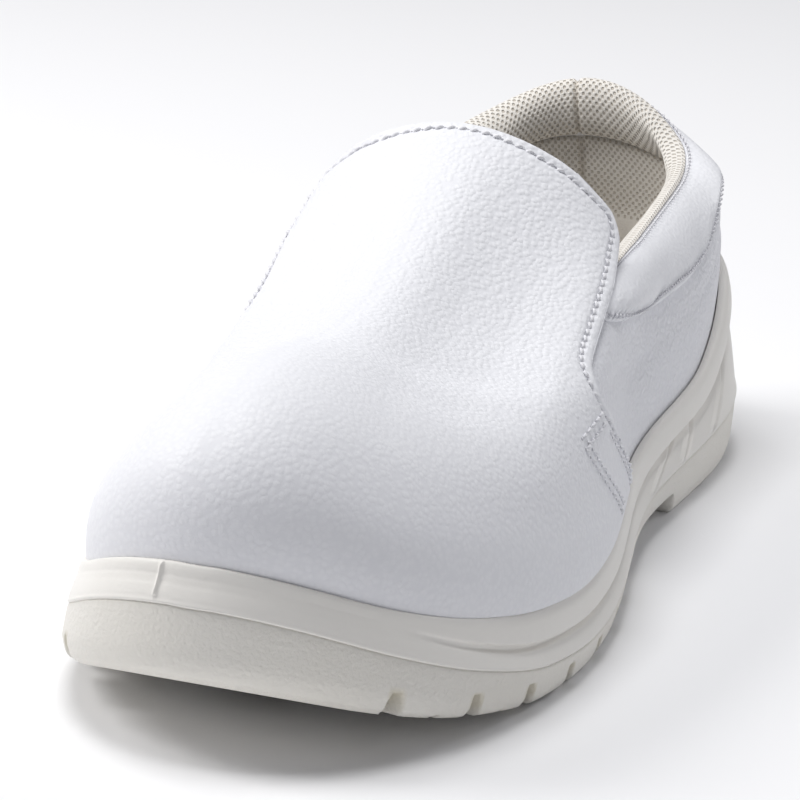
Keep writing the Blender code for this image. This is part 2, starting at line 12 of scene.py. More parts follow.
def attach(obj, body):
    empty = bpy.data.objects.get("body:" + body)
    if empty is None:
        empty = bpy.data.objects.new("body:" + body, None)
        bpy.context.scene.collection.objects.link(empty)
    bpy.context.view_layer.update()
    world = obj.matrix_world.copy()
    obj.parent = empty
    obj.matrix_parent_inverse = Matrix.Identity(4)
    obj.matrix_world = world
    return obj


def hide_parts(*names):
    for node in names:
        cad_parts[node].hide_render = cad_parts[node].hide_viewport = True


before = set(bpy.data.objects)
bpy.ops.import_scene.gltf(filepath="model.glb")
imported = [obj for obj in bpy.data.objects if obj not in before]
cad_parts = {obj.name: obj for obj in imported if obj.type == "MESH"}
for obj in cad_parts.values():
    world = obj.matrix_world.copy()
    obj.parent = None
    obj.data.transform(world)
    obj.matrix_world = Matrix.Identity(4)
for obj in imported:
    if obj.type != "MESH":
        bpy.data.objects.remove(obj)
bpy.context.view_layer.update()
MM = 0.001

# %% [markdown]
# A shoemaker measures a last every few centimetres and draws fair curves through the marks. Two
# kinds of curve do that here. One never swings past its marks, which suits heights and widths,
# and the other bends as little as a steel spline does and closes on itself, which suits outlines.

# %% Curves through tables
def smooth_through(x, y, at, level_ends=False):
    """Cubic pieces through the rows of y at x. The slope at a row is the weighted harmonic mean
    of the slopes on both sides of it, or level where they have different signs."""
    x = np.asarray(x, float)
    y = np.asarray(y, float)
    more = (1,) * (y.ndim - 1)
    step = np.diff(x).reshape(-1, *more)
    slope = np.diff(y, axis=0) / step
    same = slope[:-1] * slope[1:] > 0
    a = 2 * step[1:] + step[:-1]
    b = step[1:] + 2 * step[:-1]
    before = np.where(same, slope[:-1], 1.0)
    after = np.where(same, slope[1:], 1.0)
    tangent = np.zeros_like(y)
    tangent[1:-1] = np.where(same, (a + b) / (a / before + b / after), 0.0)
    if not level_ends:
        tangent[0] = slope[0]
        tangent[-1] = slope[-1]
    at = np.clip(at, x[0], x[-1])
    i = np.clip(np.searchsorted(x, at, side="right") - 1, 0, len(x) - 2)
    h = (x[i + 1] - x[i]).reshape(*np.shape(at), *more)
    t = ((at - x[i]) / (x[i + 1] - x[i])).reshape(*np.shape(at), *more)
    ends = y[i] * (1 + 2 * t) * (1 - t) ** 2 + y[i + 1] * t * t * (3 - 2 * t)
    return ends + h * (tangent[i] * t * (1 - t) ** 2 + tangent[i + 1] * t * t * (t - 1))


def column(rows, number, at, level_ends=False):
    """Fair curve through one column of a table, against its first column."""
    table = np.array(rows, float)
    return smooth_through(table[:, 0], table[:, number], at, level_ends)


def loop_spline(knots, values, at, period):
    """Cubic through closed rows: the second derivatives solve one equation a row, so that the
    slope is continuous all the way round."""
    n = len(knots)
    step = np.diff(np.append(knots, knots[0] + period))
    slope = (np.roll(values, -1, 0) - values) / step[:, None]
    i = np.arange(n)
    matrix = np.zeros((n, n))
    matrix[i, i] = 2 * (step + np.roll(step, 1))
    matrix[i, (i + 1) % n] += step
    matrix[i, (i - 1) % n] += np.roll(step, 1)
    bend = np.linalg.solve(matrix, 6 * (slope - np.roll(slope, 1, 0)))
    x = (at - knots[0]) % period + knots[0]
    j = np.clip(np.searchsorted(knots, x, side="right") - 1, 0, n - 1)
    k = (j + 1) % n
    h = step[j][:, None]
    a = (x - knots[j])[:, None]
    b = h - a
    ends = (values[j] / h - bend[j] * h / 6) * b + (values[k] / h - bend[k] * h / 6) * a
    return ends + (bend[j] * b**3 + bend[k] * a**3) / (6 * h)


def ramp(x, start, end):
    """0 before start and 1 after end, with a soft S between them."""
    t = np.clip((x - start) / (end - start), 0, 1)
    return t * t * (3 - 2 * t)


def ditch(distance, half, wall):
    """1 along the middle of a groove and 0 outside it, with sloping walls."""
    return 1 - ramp(np.abs(distance), half - wall / 2, half + wall / 2)


def unit(vectors):
    """Vectors divided by their lengths."""
    return vectors / np.linalg.norm(vectors, axis=-1, keepdims=True)


def lengths(points):
    """Length along a path of points, from the first one."""
    return np.append(0, np.cumsum(np.linalg.norm(np.diff(points, axis=0), axis=1)))


print("curve helpers ready:", smooth_through.__name__, loop_spline.__name__)

# %% [markdown]
# The sole's outline has a lateral and a medial edge at each station from heel to toe, because a
# left foot isn't symmetrical. A second table has the heights along the sole: the tread's face, the
# parting line between its two pours, the feather line where the leather starts, and the shelf that
# carries the foot.

# %% The sole's sizes
LENGTH = 286.0
TOE_X = -19.0
GAP = 0.3

# Station from the heel, lateral edge, medial edge.
PLAN = (
    (0.0105, 19.0, -18.4),
    (0.052, 34.9, -33.2),
    (0.115, 42.5, -40.3),
    (0.21, 43.7, -41.2),
    (0.31, 41.2, -36.0),
    (0.39, 39.6, -33.4),
    (0.47, 41.4, -36.6),
    (0.56, 45.2, -46.0),
    (0.65, 47.2, -52.8),
    (0.74, 45.4, -55.2),
    (0.83, 39.2, -54.4),
    (0.905, 29.4, -49.4),
    (0.96, 15.4, -40.4),
)

# Station, tread face, parting line, feather line, shelf under the foot, ledge inside the outline.
LEVELS = (
    (0.00, 3.0, 19.0, 48.5, 23.0, 7.4),
    (0.05, 0.0, 17.0, 47.8, 22.8, 7.2),
    (0.11, 0.0, 15.0, 43.5, 22.4, 6.8),
    (0.17, 0.0, 13.6, 33.6, 21.6, 6.2),
    (0.23, 0.0, 12.6, 27.4, 20.6, 5.4),
    (0.33, 0.0, 11.2, 24.6, 18.4, 4.6),
    (0.45, 0.0, 9.4, 20.8, 15.4, 4.4),
    (0.57, 0.0, 7.6, 18.8, 13.6, 4.8),
    (0.68, 0.0, 6.8, 18.4, 13.2, 5.0),
    (0.77, 0.8, 8.6, 20.2, 15.0, 5.6),
    (0.86, 4.6, 14.6, 24.8, 19.8, 6.8),
    (0.93, 10.0, 22.0, 30.6, 26.6, 7.4),
    (1.00, 18.0, 32.4, 40.0, 35.6, 7.8),
)
TREAD, PARTING, FEATHER, SHELF, LEDGE = 1, 2, 3, 4, 5
print("sole tables:", len(PLAN), "stations on the plan and", len(LEVELS), "levels")

# %% [markdown]
# A turn r runs round the outline: 0 at the heel's back, 1 at the toe's tip, and on to 2 along the
# medial side. A polygon through the plan's edges would show its corners, so the outline is a closed
# spline, and a ring of the sole is that outline moved in along its normal.

# %% Rings round the sole
def sides(r):
    """Way from heel to toe, 0 to 1, and side, +1 lateral or -1 medial, of a turn."""
    r = np.mod(r, 2.0)
    return np.where(r <= 1, r, 2 - r), np.where(r <= 1, 1.0, -1.0)


def station(y):
    """Share of the length from the heel, for a distance along the shoe."""
    return 0.5 - np.asarray(y) / LENGTH


def outline_points(r):
    """Sole's outline: a closed spline through the plan's edges, its knots at their chord length."""
    rows = np.array(PLAN)
    along = LENGTH * (0.5 - rows[:, 0])
    lateral = np.c_[rows[:, 1], along]
    medial = np.c_[rows[:, 2], along][::-1]
    corners = np.vstack(([[0, LENGTH / 2]], lateral, [[TOE_X, -LENGTH / 2]], medial))
    chords = np.diff(np.vstack((corners, corners[:1])), axis=0)
    reach = np.append(0, np.cumsum(np.hypot(chords[:, 0], chords[:, 1])))
    toe = reach[len(lateral) + 1]
    r = np.mod(r, 2.0)
    at = np.where(r <= 1, r * toe, toe + (r - 1) * (reach[-1] - toe))
    return loop_spline(reach[:-1], corners, at, reach[-1])


def outline(r):
    """Outline points and their outward normals, the tangents turned a quarter."""
    r = np.asarray(r, float)
    tangent = outline_points(r + 0.004) - outline_points(r - 0.004)
    normal = np.c_[-tangent[:, 1], tangent[:, 0]]
    return outline_points(r), unit(normal)


def sole_ring(r, inset, height):
    """Ring round the sole: the outline less its normal times the inset, at the heights given."""
    points, normal = outline(r)
    return np.c_[points - normal * np.reshape(inset, (-1, 1)), np.broadcast_to(height, len(points))]


def levels(r, number):
    """One column of the sole's heights at the turns r."""
    return column(LEVELS, number, station(outline_points(r)[:, 1]))


edge_x = outline_points(np.linspace(0, 2, 721))[:, 0]
MIDDLE = 0.5 * (edge_x.max() + edge_x.min())
print("sole is", round(float(np.ptp(edge_x)), 1), "mm wide, its middle at", round(float(MIDDLE), 2))

# %% [markdown]
# A last is the foot-shaped form that a shoe is built on. One table says where the leather's wall
# and girth lie, round a side from heel to toe, and another is the throat, the edge of the opening.
# A scanned foot would have thousands of points, but a few fair rows keep the form smooth.

# %% The last's sizes
# Way round a side, angle on the throat, inset and rise of the wall, then share, rise and inward
# draw of the girth.
ROUND = (
    (0.0, 0.0, 0.5, 11.0, 0.50, 21.0, 0.0),
    (0.1, 38.0, 0.6, 12.0, 0.35, 22.0, 0.0),
    (0.2, 66.0, 0.6, 14.0, 0.40, 30.0, 0.0),
    (0.3, 88.0, 0.5, 14.0, 0.40, 32.0, 0.0),
    (0.4, 108.0, 0.8, 15.0, 0.40, 34.5, 0.0),
    (0.5, 124.0, 1.5, 15.5, 0.42, 36.8, 0.0),
    (0.6, 138.0, 2.6, 16.5, 0.43, 36.4, 0.5),
    (0.7, 150.0, 3.4, 17.5, 0.43, 34.4, 2.0),
    (0.8, 161.0, 3.2, 17.5, 0.43, 30.2, 7.0),
    (0.9, 171.0, 3.6, 17.5, 0.43, 27.4, 9.6),
    (1.0, 180.0, 5.0, 17.5, 0.43, 25.2, 7.0),
)

# Throat: angle from the back, half width, distance along the shoe, height.
THROAT = (
    (0.0, 0.0, 135.0, 82.0),
    (20.0, 12.0, 133.0, 79.5),
    (45.0, 24.0, 124.0, 73.0),
    (70.0, 30.5, 107.0, 69.0),
    (95.0, 32.0, 82.0, 67.0),
    (115.0, 32.5, 60.0, 66.5),
    (135.0, 32.5, 42.0, 69.5),
    (150.0, 30.0, 32.0, 76.0),
    (165.0, 18.0, 27.0, 85.0),
    (180.0, 0.0, 25.5, 89.5),
)
THROAT_BACK_X = -4.5
THROAT_FRONT_X = -10.0


def throat(r):
    """Opening's edge: a closed spline through both sides of the throat, moved sideways by a
    share that grows from the back to the front."""
    way, side = sides(r)
    angle = column(ROUND, 1, way)
    half = np.array(THROAT)
    other = half[-2:0:-1] * [1, -1, 1, 1]
    other[:, 0] = 360 - other[:, 0]
    rows = np.vstack((half, other))
    points = loop_spline(rows[:, 0], rows[:, 1:], np.where(side > 0, angle, 360 - angle), 360)
    turn = 0.5 - 0.5 * np.cos(np.radians(angle))
    points[:, 0] += THROAT_BACK_X + (THROAT_FRONT_X - THROAT_BACK_X) * turn
    return points


print("throat is", round(float(np.ptp(throat(np.linspace(0, 2, 181))[:, 1])), 1), "mm long")

# %% [markdown]
# The upper is pulled over the last. At each turn one line climbs from the feather line, where the
# leather meets the sole, by the wall and the girth to the throat. It leaves the sole upright and
# ends free, so a clamped cubic through four points is all it needs.

# %% The last's surface
def last(r, v):
    """Upper's outer surface: at each turn r a cubic spline by chord length from the feather line
    (v = 0) through the wall and the girth to the throat (v = 1)."""
    r, v = (np.asarray(x, float).ravel() for x in np.broadcast_arrays(r, v))
    way, _ = sides(r)
    points, normal = outline(r)
    feather = levels(r, FEATHER)
    inset, rise, share, girth, draw = (column(ROUND, c, way, True) for c in range(2, 7))
    end = throat(r)
    foot = np.c_[points - normal * (levels(r, LEDGE) + GAP)[:, None], feather]
    wall = np.c_[foot[:, :2] - normal * inset[:, None], feather + rise]
    toward = (end - foot)[:, :2] * share[:, None] - normal * draw[:, None]
    waist = np.c_[foot[:, :2] + toward, feather + girth]
    knots = np.stack((foot, wall, waist, end), 1)
    step = np.linalg.norm(np.diff(knots, axis=1), axis=2)
    slope = np.diff(knots, axis=1) / step[:, :, None]
    start = np.c_[normal * 0.10, np.ones(len(r))]
    matrix = np.zeros((len(r), 4, 4))
    pull = np.zeros((len(r), 4, 3))
    matrix[:, 0, 0] = 2 * step[:, 0]
    matrix[:, 0, 1] = step[:, 0]
    pull[:, 0] = 6 * (slope[:, 0] - start)
    for j in (1, 2):
        matrix[:, j, j - 1] = step[:, j - 1]
        matrix[:, j, j] = 2 * (step[:, j - 1] + step[:, j])
        matrix[:, j, j + 1] = step[:, j]
        pull[:, j] = 6 * (slope[:, j] - slope[:, j - 1])
    matrix[:, 3, 3] = 1
    bend = np.linalg.solve(matrix, pull)
    reach = np.c_[np.zeros(len(r)), np.cumsum(step, axis=1)]
    x = v * reach[:, 3]
    j = (x[:, None] >= reach[:, 1:3]).sum(1)
    i = np.arange(len(r))
    h = step[i, j][:, None]
    a = (x - reach[i, j])[:, None]
    b = h - a
    ends = (knots[i, j] / h - bend[i, j] * h / 6) * b
    ends += (knots[i, j + 1] / h - bend[i, j + 1] * h / 6) * a
    return ends + (bend[i, j] * b**3 + bend[i, j + 1] * a**3) / (6 * h)


def last_normal(r, v):
    """Outward normal: the step up the surface crossed with the step round it."""
    d = 0.003
    r, v = (np.asarray(x, float) for x in np.broadcast_arrays(r, v))
    across = last(r + d, v) - last(r - d, v)
    upward = last(r, v + d) - last(r, v - d)
    return unit(np.cross(upward, across))


def skin(r, v, out):
    """Points a distance outside the upper's surface, shaped as the grid of r and v."""
    r, v, out = np.broadcast_arrays(r, v, out)
    made = last(r, v) + last_normal(r, v) * out.reshape(-1, 1)
    return made.reshape(*r.shape, 3)


print("instep height:", round(float(last([1.0], [1.0])[0, 2]), 1), "mm")

# %% [markdown]
# Each piece is a grid of points, so its faces are rows of index numbers and need no loop over
# vertices. A grid may close on itself along either side, a tube may shrink to a point at its ends,
# and a flat piece has rungs from side to side of its rim.

# %% Index grids
def grid_faces(index, close_rows=False, close_columns=False):
    """Four corners of each cell of an index grid."""
    if close_rows:
        index = np.concatenate((index, index[:1]))
    if close_columns:
        index = np.concatenate((index, index[:, :1]), axis=1)
    cells = (index[:-1, :-1], index[:-1, 1:], index[1:, 1:], index[1:, :-1])
    return np.stack(cells, -1).reshape(-1, 4)


def numbered(*shape, start=0):
    """Index grid of a shape, counted row by row."""
    return start + np.arange(np.prod(shape)).reshape(shape)


def ring_faces(rings):
    """Faces of a grid that closes on itself both ways."""
    return grid_faces(numbered(*rings.shape[:2]), True, True)


def rung_points(ring, count):
    """Points on straight rungs from side to side of a ring, their ways across and the rungs'
    lengths."""
    half = len(ring) // 2
    across = np.linspace(0, 1, count + 1)[1:-1]
    left, right = ring[1:half, None], ring[:half:-1, None]
    points = left + (right - left) * across[None, :, None]
    return points, across, np.linalg.norm(right - left, axis=-1)


def rung_index(edge, count, *inner):
    """Index grid of rungs across a ring that starts at the number edge. A rung joins a point to
    its partner on the other side, by way of inner points if there are any, and the first and
    last rung shrink to a point."""
    half = count // 2
    parts = (edge + np.arange(1, half), *inner, edge + np.arange(count - 1, half, -1))
    across = np.column_stack(parts)
    first = np.full((1, across.shape[1]), edge)
    return np.vstack((first, across, first + half))


def bed_faces(rows, count, shape):
    """Faces of a wall of rings, of rungs across its last ring and of a lid over its first."""
    wall = grid_faces(numbered(rows, count), close_columns=True)
    inner = numbered(*shape, start=rows * count)
    bridge = grid_faces(rung_index((rows - 1) * count, count, inner))[:, ::-1]
    return np.vstack((wall, bridge, grid_faces(rung_index(0, count))))


def drawn_in(tube, share):
    """Rings of a tube drawn in to their middles: none where the share is 1, all where it is 0."""
    share = share[:, None, None]
    return tube.mean(1)[:, None] * (1 - share) + tube * share


def tube_faces(tube):
    """Faces of an open tube whose first and last ring shrink to a point."""
    index = numbered(*tube.shape[:2])
    index[0] = index[0, 0]
    index[-1] = index[-1, 0]
    return grid_faces(index, close_columns=True)


print("faces of a grid of 3 by 4 points:", len(grid_faces(numbered(3, 4))))

# %% [markdown]
# A mesh takes whole arrays by foreach_set, which is far quicker than adding faces one by one. The
# signed volume tells whether the faces point outwards, and all are turned round if they don't.
# Each piece then rides on the part's body, and the solid that it stands for is hidden.

# %% A piece from a grid
def put(name, points, quads, finish, slot, stands_for=None, **marks):
    """Shown piece from points in millimetres and four corners a face. A corner that repeats the
    one before it is left out, so a face at a pole is a triangle. Marks become attributes."""
    points = np.asarray(points, float).reshape(-1, 3)
    a, b, c, d = (points[quads[:, i]] for i in range(4))
    volume = ((np.cross(b, c) + np.cross(c, d)) * a).sum() / 6
    quads = quads if volume > 0 else quads[:, ::-1]
    keep = quads != np.roll(quads, 1, axis=1)
    whole = keep.sum(1) > 2
    quads, keep = quads[whole], keep[whole]
    used, corners = np.unique(quads, return_inverse=True)
    points, quads = points[used], corners.reshape(quads.shape)
    mesh = bpy.data.meshes.new(name)
    mesh.vertices.add(len(points))
    mesh.vertices.foreach_set("co", ((points - (MIDDLE, 0, 0)) * MM).astype(np.float32).ravel())
    mesh.loops.add(int(keep.sum()))
    mesh.loops.foreach_set("vertex_index", quads[keep].astype(np.int32))
    mesh.polygons.add(len(quads))
    starts = np.append(0, np.cumsum(keep.sum(1))[:-1])
    mesh.polygons.foreach_set("loop_start", starts.astype(np.int32))
    mesh.polygons.foreach_set("use_smooth", np.ones(len(quads), bool))
    mesh.update(calc_edges=True)
    for label, values in marks.items():
        mark = mesh.attributes.new(label, "FLOAT", "POINT")
        mark.data.foreach_set("value", np.asarray(values, np.float32).ravel()[used])
    mesh.materials.append(finish.material)
    made = bpy.data.objects.new(name, mesh)
    bpy.context.scene.collection.objects.link(made)
    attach(made, "root")
    if stands_for:
        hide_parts(stands_for)
    faces = int((keep.sum(1) - 2).sum())
    print(f"{name}: {faces} triangles, {abs(volume) / 1000:.1f} cm3")
    return made


print("pieces are set off by", round(float(-MIDDLE), 2), "mm to stand on the middle of the sole")

# %% [markdown]
# A finish is a Principled shader with a little arithmetic in front of it. The class Field wraps a
# socket, so that a mask or a height can be written as a Python sum, and each operator adds one
# Math node. Every other node comes from one method, which sets its options before its sockets.

# %% Shader arithmetic
class Field:
    """A number, colour or vector that a node gives at each point of a surface."""

    def __init__(self, finish, socket):
        self.finish = finish
        self.socket = socket

    def math(self, operation, first, second):
        """Adds one Math node."""
        return self.finish.node("ShaderNodeMath", {"operation": operation}, {0: first, 1: second})

    def __add__(self, other):
        return self.math("ADD", self, other)

    def __sub__(self, other):
        return self.math("SUBTRACT", self, other)

    def __rsub__(self, other):
        return self.math("SUBTRACT", other, self)

    def __mul__(self, other):
        return self.math("MULTIPLY", self, other)

    __radd__ = __add__
    __rmul__ = __mul__


class Finish:
    """One material, with constants set on the shader's own sockets."""

    def __init__(self, name, constants):
        self.material = bpy.data.materials.new(name)
        self.material.use_nodes = True
        self.tree = self.material.node_tree
        self.shader = self.tree.nodes["Principled BSDF"]
        self.set(constants)
        self.place = self.node("ShaderNodeTexCoord", out="Object")

    def node(self, kind, settings=None, sockets=None, out=0):
        """Adds a node: its settings first, then values or links for its sockets."""
        made = self.tree.nodes.new(kind)
        for label, value in (settings or {}).items():
            setattr(made, label, value)
        for label, value in (sockets or {}).items():
            self.plug(made.inputs[label], value)
        return Field(self, made.outputs[out])

    def plug(self, socket, value):
        """Links a Field to a socket, or sets a constant on it."""
        if isinstance(value, Field):
            self.tree.links.new(value.socket, socket)
        else:
            socket.default_value = value

    def set(self, sockets):
        """Plugs values into the shader."""
        for label, value in sockets.items():
            self.plug(self.shader.inputs[label], value)

    def noise(self, size, detail, out="Fac"):
        """Noise whose features are about size metres across."""
        sockets = {"Vector": self.place, "Scale": 1 / size, "Detail": detail}
        return self.node("ShaderNodeTexNoise", {}, sockets, out)

    def soft_step(self, value, low, high):
        """0 below low and 1 above high."""
        sockets = {"Value": value, "From Min": low, "From Max": high}
        return self.node("ShaderNodeMapRange", {"interpolation_type": "SMOOTHSTEP"}, sockets)

    def blend(self, mask, at_0, at_1):
        """Colour at_0 where the mask is 0 and at_1 where it is 1."""
        sockets = {0: mask, 6: at_0, 7: at_1}
        return self.node("ShaderNodeMix", {"data_type": "RGBA"}, sockets, 2)

    def mark(self, label):
        """Attribute that the piece's grid carries."""
        return self.node("ShaderNodeAttribute", {"attribute_name": label}, {}, "Fac")

    def relief(self, height, depth):
        """Bump of a height field of about 0 to 1, depth metres tall."""
        sockets = {"Height": height, "Distance": depth, "Strength": 1.0}
        self.set({"Normal": self.node("ShaderNodeBump", {}, sockets)})


def tint(red, green, blue):
    """Opaque colour for a socket."""
    return (red, green, blue, 1.0)


print("shader classes ready:", Field.__name__, Finish.__name__)

# %% [markdown]
# The white uppers are microfibre with an embossed pebble grain: domes of little more than a
# millimetre that run into one another. Smoothed cells of a Voronoi texture give the domes, a noise
# bends them so that no straight line is left, and a wider noise adds folds. Towards the toe the
# leather is stretched, so the grain is flatter there. The collar has the shallowest print.

# %% Microfibre
def microfibre(name, white, furrow_shade_and_tone, pebble, depth, roughness):
    """Relief is domes plus folds, times a slack that grows from toe to instep, plus fine pores.
    The furrows are rougher than the domes and a little greyer, which is painted shade."""
    made = Finish(name, {"Specular IOR Level": 0.38})
    bent = made.node(
        "ShaderNodeVectorMath",
        {"operation": "MULTIPLY_ADD"},
        {0: made.noise(pebble * 2.0, 2.0, "Color"), 1: (pebble * 0.45,) * 3, 2: made.place},
    )
    cells = made.node(
        "ShaderNodeTexVoronoi",
        {"feature": "SMOOTH_F1"},
        {"Vector": bent, "Scale": 1 / pebble, "Smoothness": 0.18},
    )
    dome = 1.0 - made.soft_step(cells, 0.15, 0.80)
    pores = made.noise(pebble * 0.30, 2.0)
    folds = made.noise(pebble * 5.0, 3.0)
    clouds = made.noise(0.05, 2.0)
    along = made.node("ShaderNodeSeparateXYZ", {}, {0: made.place}, "Y")
    slack = made.soft_step(along, -0.125, -0.03) * 0.55 + 0.45
    made.relief((dome * 0.75 + folds * 0.5) * slack + pores * 0.10, depth)
    # Painted shade: the colour goes greyer in the furrows between the domes, and a wide noise varies
    # the tone.
    made.set(
        {
            "Base Color": made.blend(dome * 0.7 + clouds * 0.3, furrow_shade_and_tone, white),
            "Roughness": roughness + 0.08 - dome * 0.06 + clouds * 0.06,
        }
    )
    return made


VAMP_HIDE = microfibre(
    "vamp_microfibre", tint(0.86, 0.865, 0.895), tint(0.82, 0.825, 0.86), 0.0013, 0.00017, 0.44
)
QUARTER_HIDE = microfibre(
    "quarter_microfibre", tint(0.85, 0.855, 0.89), tint(0.81, 0.815, 0.855), 0.0013, 0.00022, 0.45
)
COLLAR_HIDE = microfibre(
    "collar_microfibre", tint(0.86, 0.865, 0.895), tint(0.83, 0.835, 0.87), 0.0011, 0.00010, 0.32
)
print("microfibre finishes:", VAMP_HIDE.material.name, COLLAR_HIDE.material.name)

# %% [markdown]
# Sole and tread are poured polyurethane foam, a warm off-white. The skin of the midsole is satin
# with the faintest orange peel, while the tread's mould was blasted, so its surface is sandy. A
# mark on the tread's grid says how deep a point lies, and the deep places are darker and yellower.

# %% Moulded foam
def moulded_foam(name, pale, deep, peel, depth, roughness, depth_mark=None):
    """Relief is one noise. The colour goes from pale to deep by a wide noise and the depth mark."""
    made = Finish(name, {"Specular IOR Level": 0.40})
    clouds = made.noise(0.035, 3.0)
    grain = made.noise(peel, 3.0)
    mask = clouds * 0.35
    if depth_mark:
        mask = mask + made.mark(depth_mark) * 0.85
    made.relief(grain, depth)
    made.set(
        {
            "Base Color": made.blend(mask, pale, deep),
            "Roughness": roughness + clouds * 0.10 + grain * 0.06,
        }
    )
    return made


MIDSOLE_FOAM = moulded_foam(
    "midsole_foam", tint(0.87, 0.85, 0.81), tint(0.81, 0.785, 0.735), 0.0013, 0.00008, 0.36
)
TREAD_FOAM = moulded_foam(
    "tread_foam", tint(0.84, 0.82, 0.775), tint(0.74, 0.70, 0.60), 0.0010, 0.00030, 0.50, "sunk"
)
print("foam finishes:", MIDSOLE_FOAM.material.name, TREAD_FOAM.material.name)

# %% [markdown]
# The lining is a beige spacer mesh, a thick knit with staggered holes. On the collar the holes are
# also dents in the grid, and two marks, the lengths along and round the knit, tell the finish where
# to deepen them and paint shade into them. Thread, the needle holes' painted shade, the insole's
# cloth and the badge's enamel and metal rim are the last five finishes.

# %% Textile, thread and badge
HOLE_ALONG = 1.7
HOLE_ROUND = 1.9


def knit(name, yarn, dark_tone_and_hole_shade, fibre, depth, open_work=False):
    """Cloth of a noise's twist. Open work has a hole wherever two sine waves, one along the knit
    and one across it, are both up or both down. The holes are painted darker, as painted shade."""
    made = Finish(name, {"Specular IOR Level": 0.2, "Sheen Weight": 0.15, "Sheen Roughness": 0.5})
    twist = made.noise(fibre, 2.0)
    clouds = made.noise(0.02, 2.0)
    mask = twist * 0.25 + clouds * 0.12
    height = twist
    if open_work:
        along = made.mark("along") * (2 * np.pi / HOLE_ALONG)
        around = made.mark("around") * (2 * np.pi / HOLE_ROUND)
        waves = [made.node("ShaderNodeMath", {"operation": "SINE"}, {0: x}) for x in (along, around)]
        hole = made.soft_step(waves[0] * waves[1], 0.12, 0.62)
        # Painted shade: the holes are darker in colour; the seam mark darkens the back seam's line.
        mask = mask + hole * 0.72 + made.mark("seam") * 0.5
        height = twist * 0.35 - hole
    made.relief(height, depth)
    made.set({"Base Color": made.blend(mask, yarn, dark_tone_and_hole_shade), "Roughness": 0.80 + twist * 0.15})
    return made


def plain(name, colour, second, size, roughness, constants):
    """Two tints and a slight relief from one noise."""
    made = Finish(name, constants)
    clouds = made.noise(size, 3.0)
    made.relief(clouds, 0.00004)
    made.set({"Base Color": made.blend(clouds, colour, second), "Roughness": roughness + clouds * 0.1})
    return made


MESH_KNIT = knit("mesh_knit", tint(0.91, 0.88, 0.83), tint(0.60, 0.55, 0.48), 0.00045, 0.00030, True)
INSOLE_CLOTH = knit("insole_cloth", tint(0.56, 0.53, 0.48), tint(0.36, 0.33, 0.29), 0.0008, 0.0003)
THREAD = plain("thread", tint(0.86, 0.86, 0.88), tint(0.74, 0.74, 0.78), 0.0004, 0.55, {})
# Needle holes are grey dots of painted shade where the thread goes into the leather.
NEEDLE_HOLE_SHADE = plain("needle_hole_shade", tint(0.52, 0.52, 0.56), tint(0.42, 0.42, 0.46), 0.0006, 0.8, {})
ENAMEL = plain(
    "enamel",
    tint(0.016, 0.060, 0.250),
    tint(0.022, 0.075, 0.290),
    0.006,
    0.22,
    {"Coat Weight": 0.6, "Coat Roughness": 0.08},
)
RIM_METAL = plain(
    "rim_metal", tint(0.62, 0.64, 0.66), tint(0.50, 0.52, 0.55), 0.003, 0.30, {"Metallic": 0.85}
)
print("materials, with those of the solids:", len(bpy.data.materials))

# %% [markdown]
# The tread unit stands on the floor. Its underside is a height field: grooves, panels and slots are
# masks between 0 and 1, and the deepest one at a point wins. Near the rim the grid follows the
# outline, so that lugs sit square to it, and inside the rim rungs cross from side to side.

# %% Tread sizes
AROUND = 960
RIM_LUG = 16.0
RIM_INNER = 20.0
LUG_DEPTH = 3.4
GROOVE = 3.0
PANEL_DEPTH = 2.4
PANEL_SLANT = 0.30
LEAF_SLANT = 0.62
SIPE_LONG = 6.0
SIPE = 1.0
SIPE_DEPTH = 1.8
TOE_SLOPE = 1.2
LIP_FADES = 0.72
LIP_ENDS = 0.89

# Straight grooves of the heel, from end to end: station, sideways, station, sideways.
HEEL_CUTS = (
    (0.052, 37.0, 0.140, 18.5),
    (0.140, 42.0, 0.172, 21.0),
    (0.224, 43.0, 0.233, 24.5),
    (0.233, 24.5, 0.300, 17.5),
    (0.090, -40.0, 0.168, -18.5),
    (0.198, -42.0, 0.212, -17.5),
    (0.280, -39.0, 0.246, -15.0),
    (0.246, -15.0, 0.300, -8.5),
)
FORE_STEP = 0.067
FORE_GROOVES = 0.53 + FORE_STEP * np.arange(7)
FORE_SIPES = FORE_GROOVES - FORE_STEP / 2
HEEL_ARCS = (9.0, 18.5)
HEEL_ARC_INNER = 27.5
# Half width and wall of the thin lines.
HEEL_LINE = (0.75, 0.7)
HEEL_LINE_DEPTH = 1.4
HEEL_RADIUS = 41.5
HEEL_SPOKES = (0.042, 1.958)
# Panels: first and last station.
PANELS = np.array(((0.50, 0.555), (0.566, 0.634), (0.645, 0.722), (0.733, 0.81)))
# Nubs of a panel: shares of its length from the middle and of its room from the leaf.
NUBS = ((0, 0.52), (-0.29, 0.26), (-0.29, 0.76), (0.29, 0.26), (0.29, 0.76))
NUB_HIGH = 1.3
NUB_RADIUS = 1.4
# Outlines of the leaf, the basin and the loop: station, half width.
LEAF = ((0.49, 1.0), (0.56, 8.0), (0.66, 12.5), (0.76, 12.0), (0.86, 7.0))
LEAF_SLOTS = np.array((0.532, 0.605, 0.685, 0.765, 0.838))
SLOT_HALF = 8.6
SLOT_DEPTH = 2.2
HEEL_BASIN = ((0.125, 4.0), (0.14, 8.5), (0.17, 11.0), (0.21, 9.5), (0.255, 6.0), (0.295, 1.5))
HEEL_LOOP = (
    (0.095, 0.5),
    (0.099, 6.0),
    (0.108, 11.5),
    (0.125, 15.5),
    (0.15, 17.0),
    (0.19, 15.0),
    (0.30, 7.0),
)
LOOP_DEPTH = 1.9
HEEL_CUT_DEPTH = 2.6
BASIN_RIBS = 11
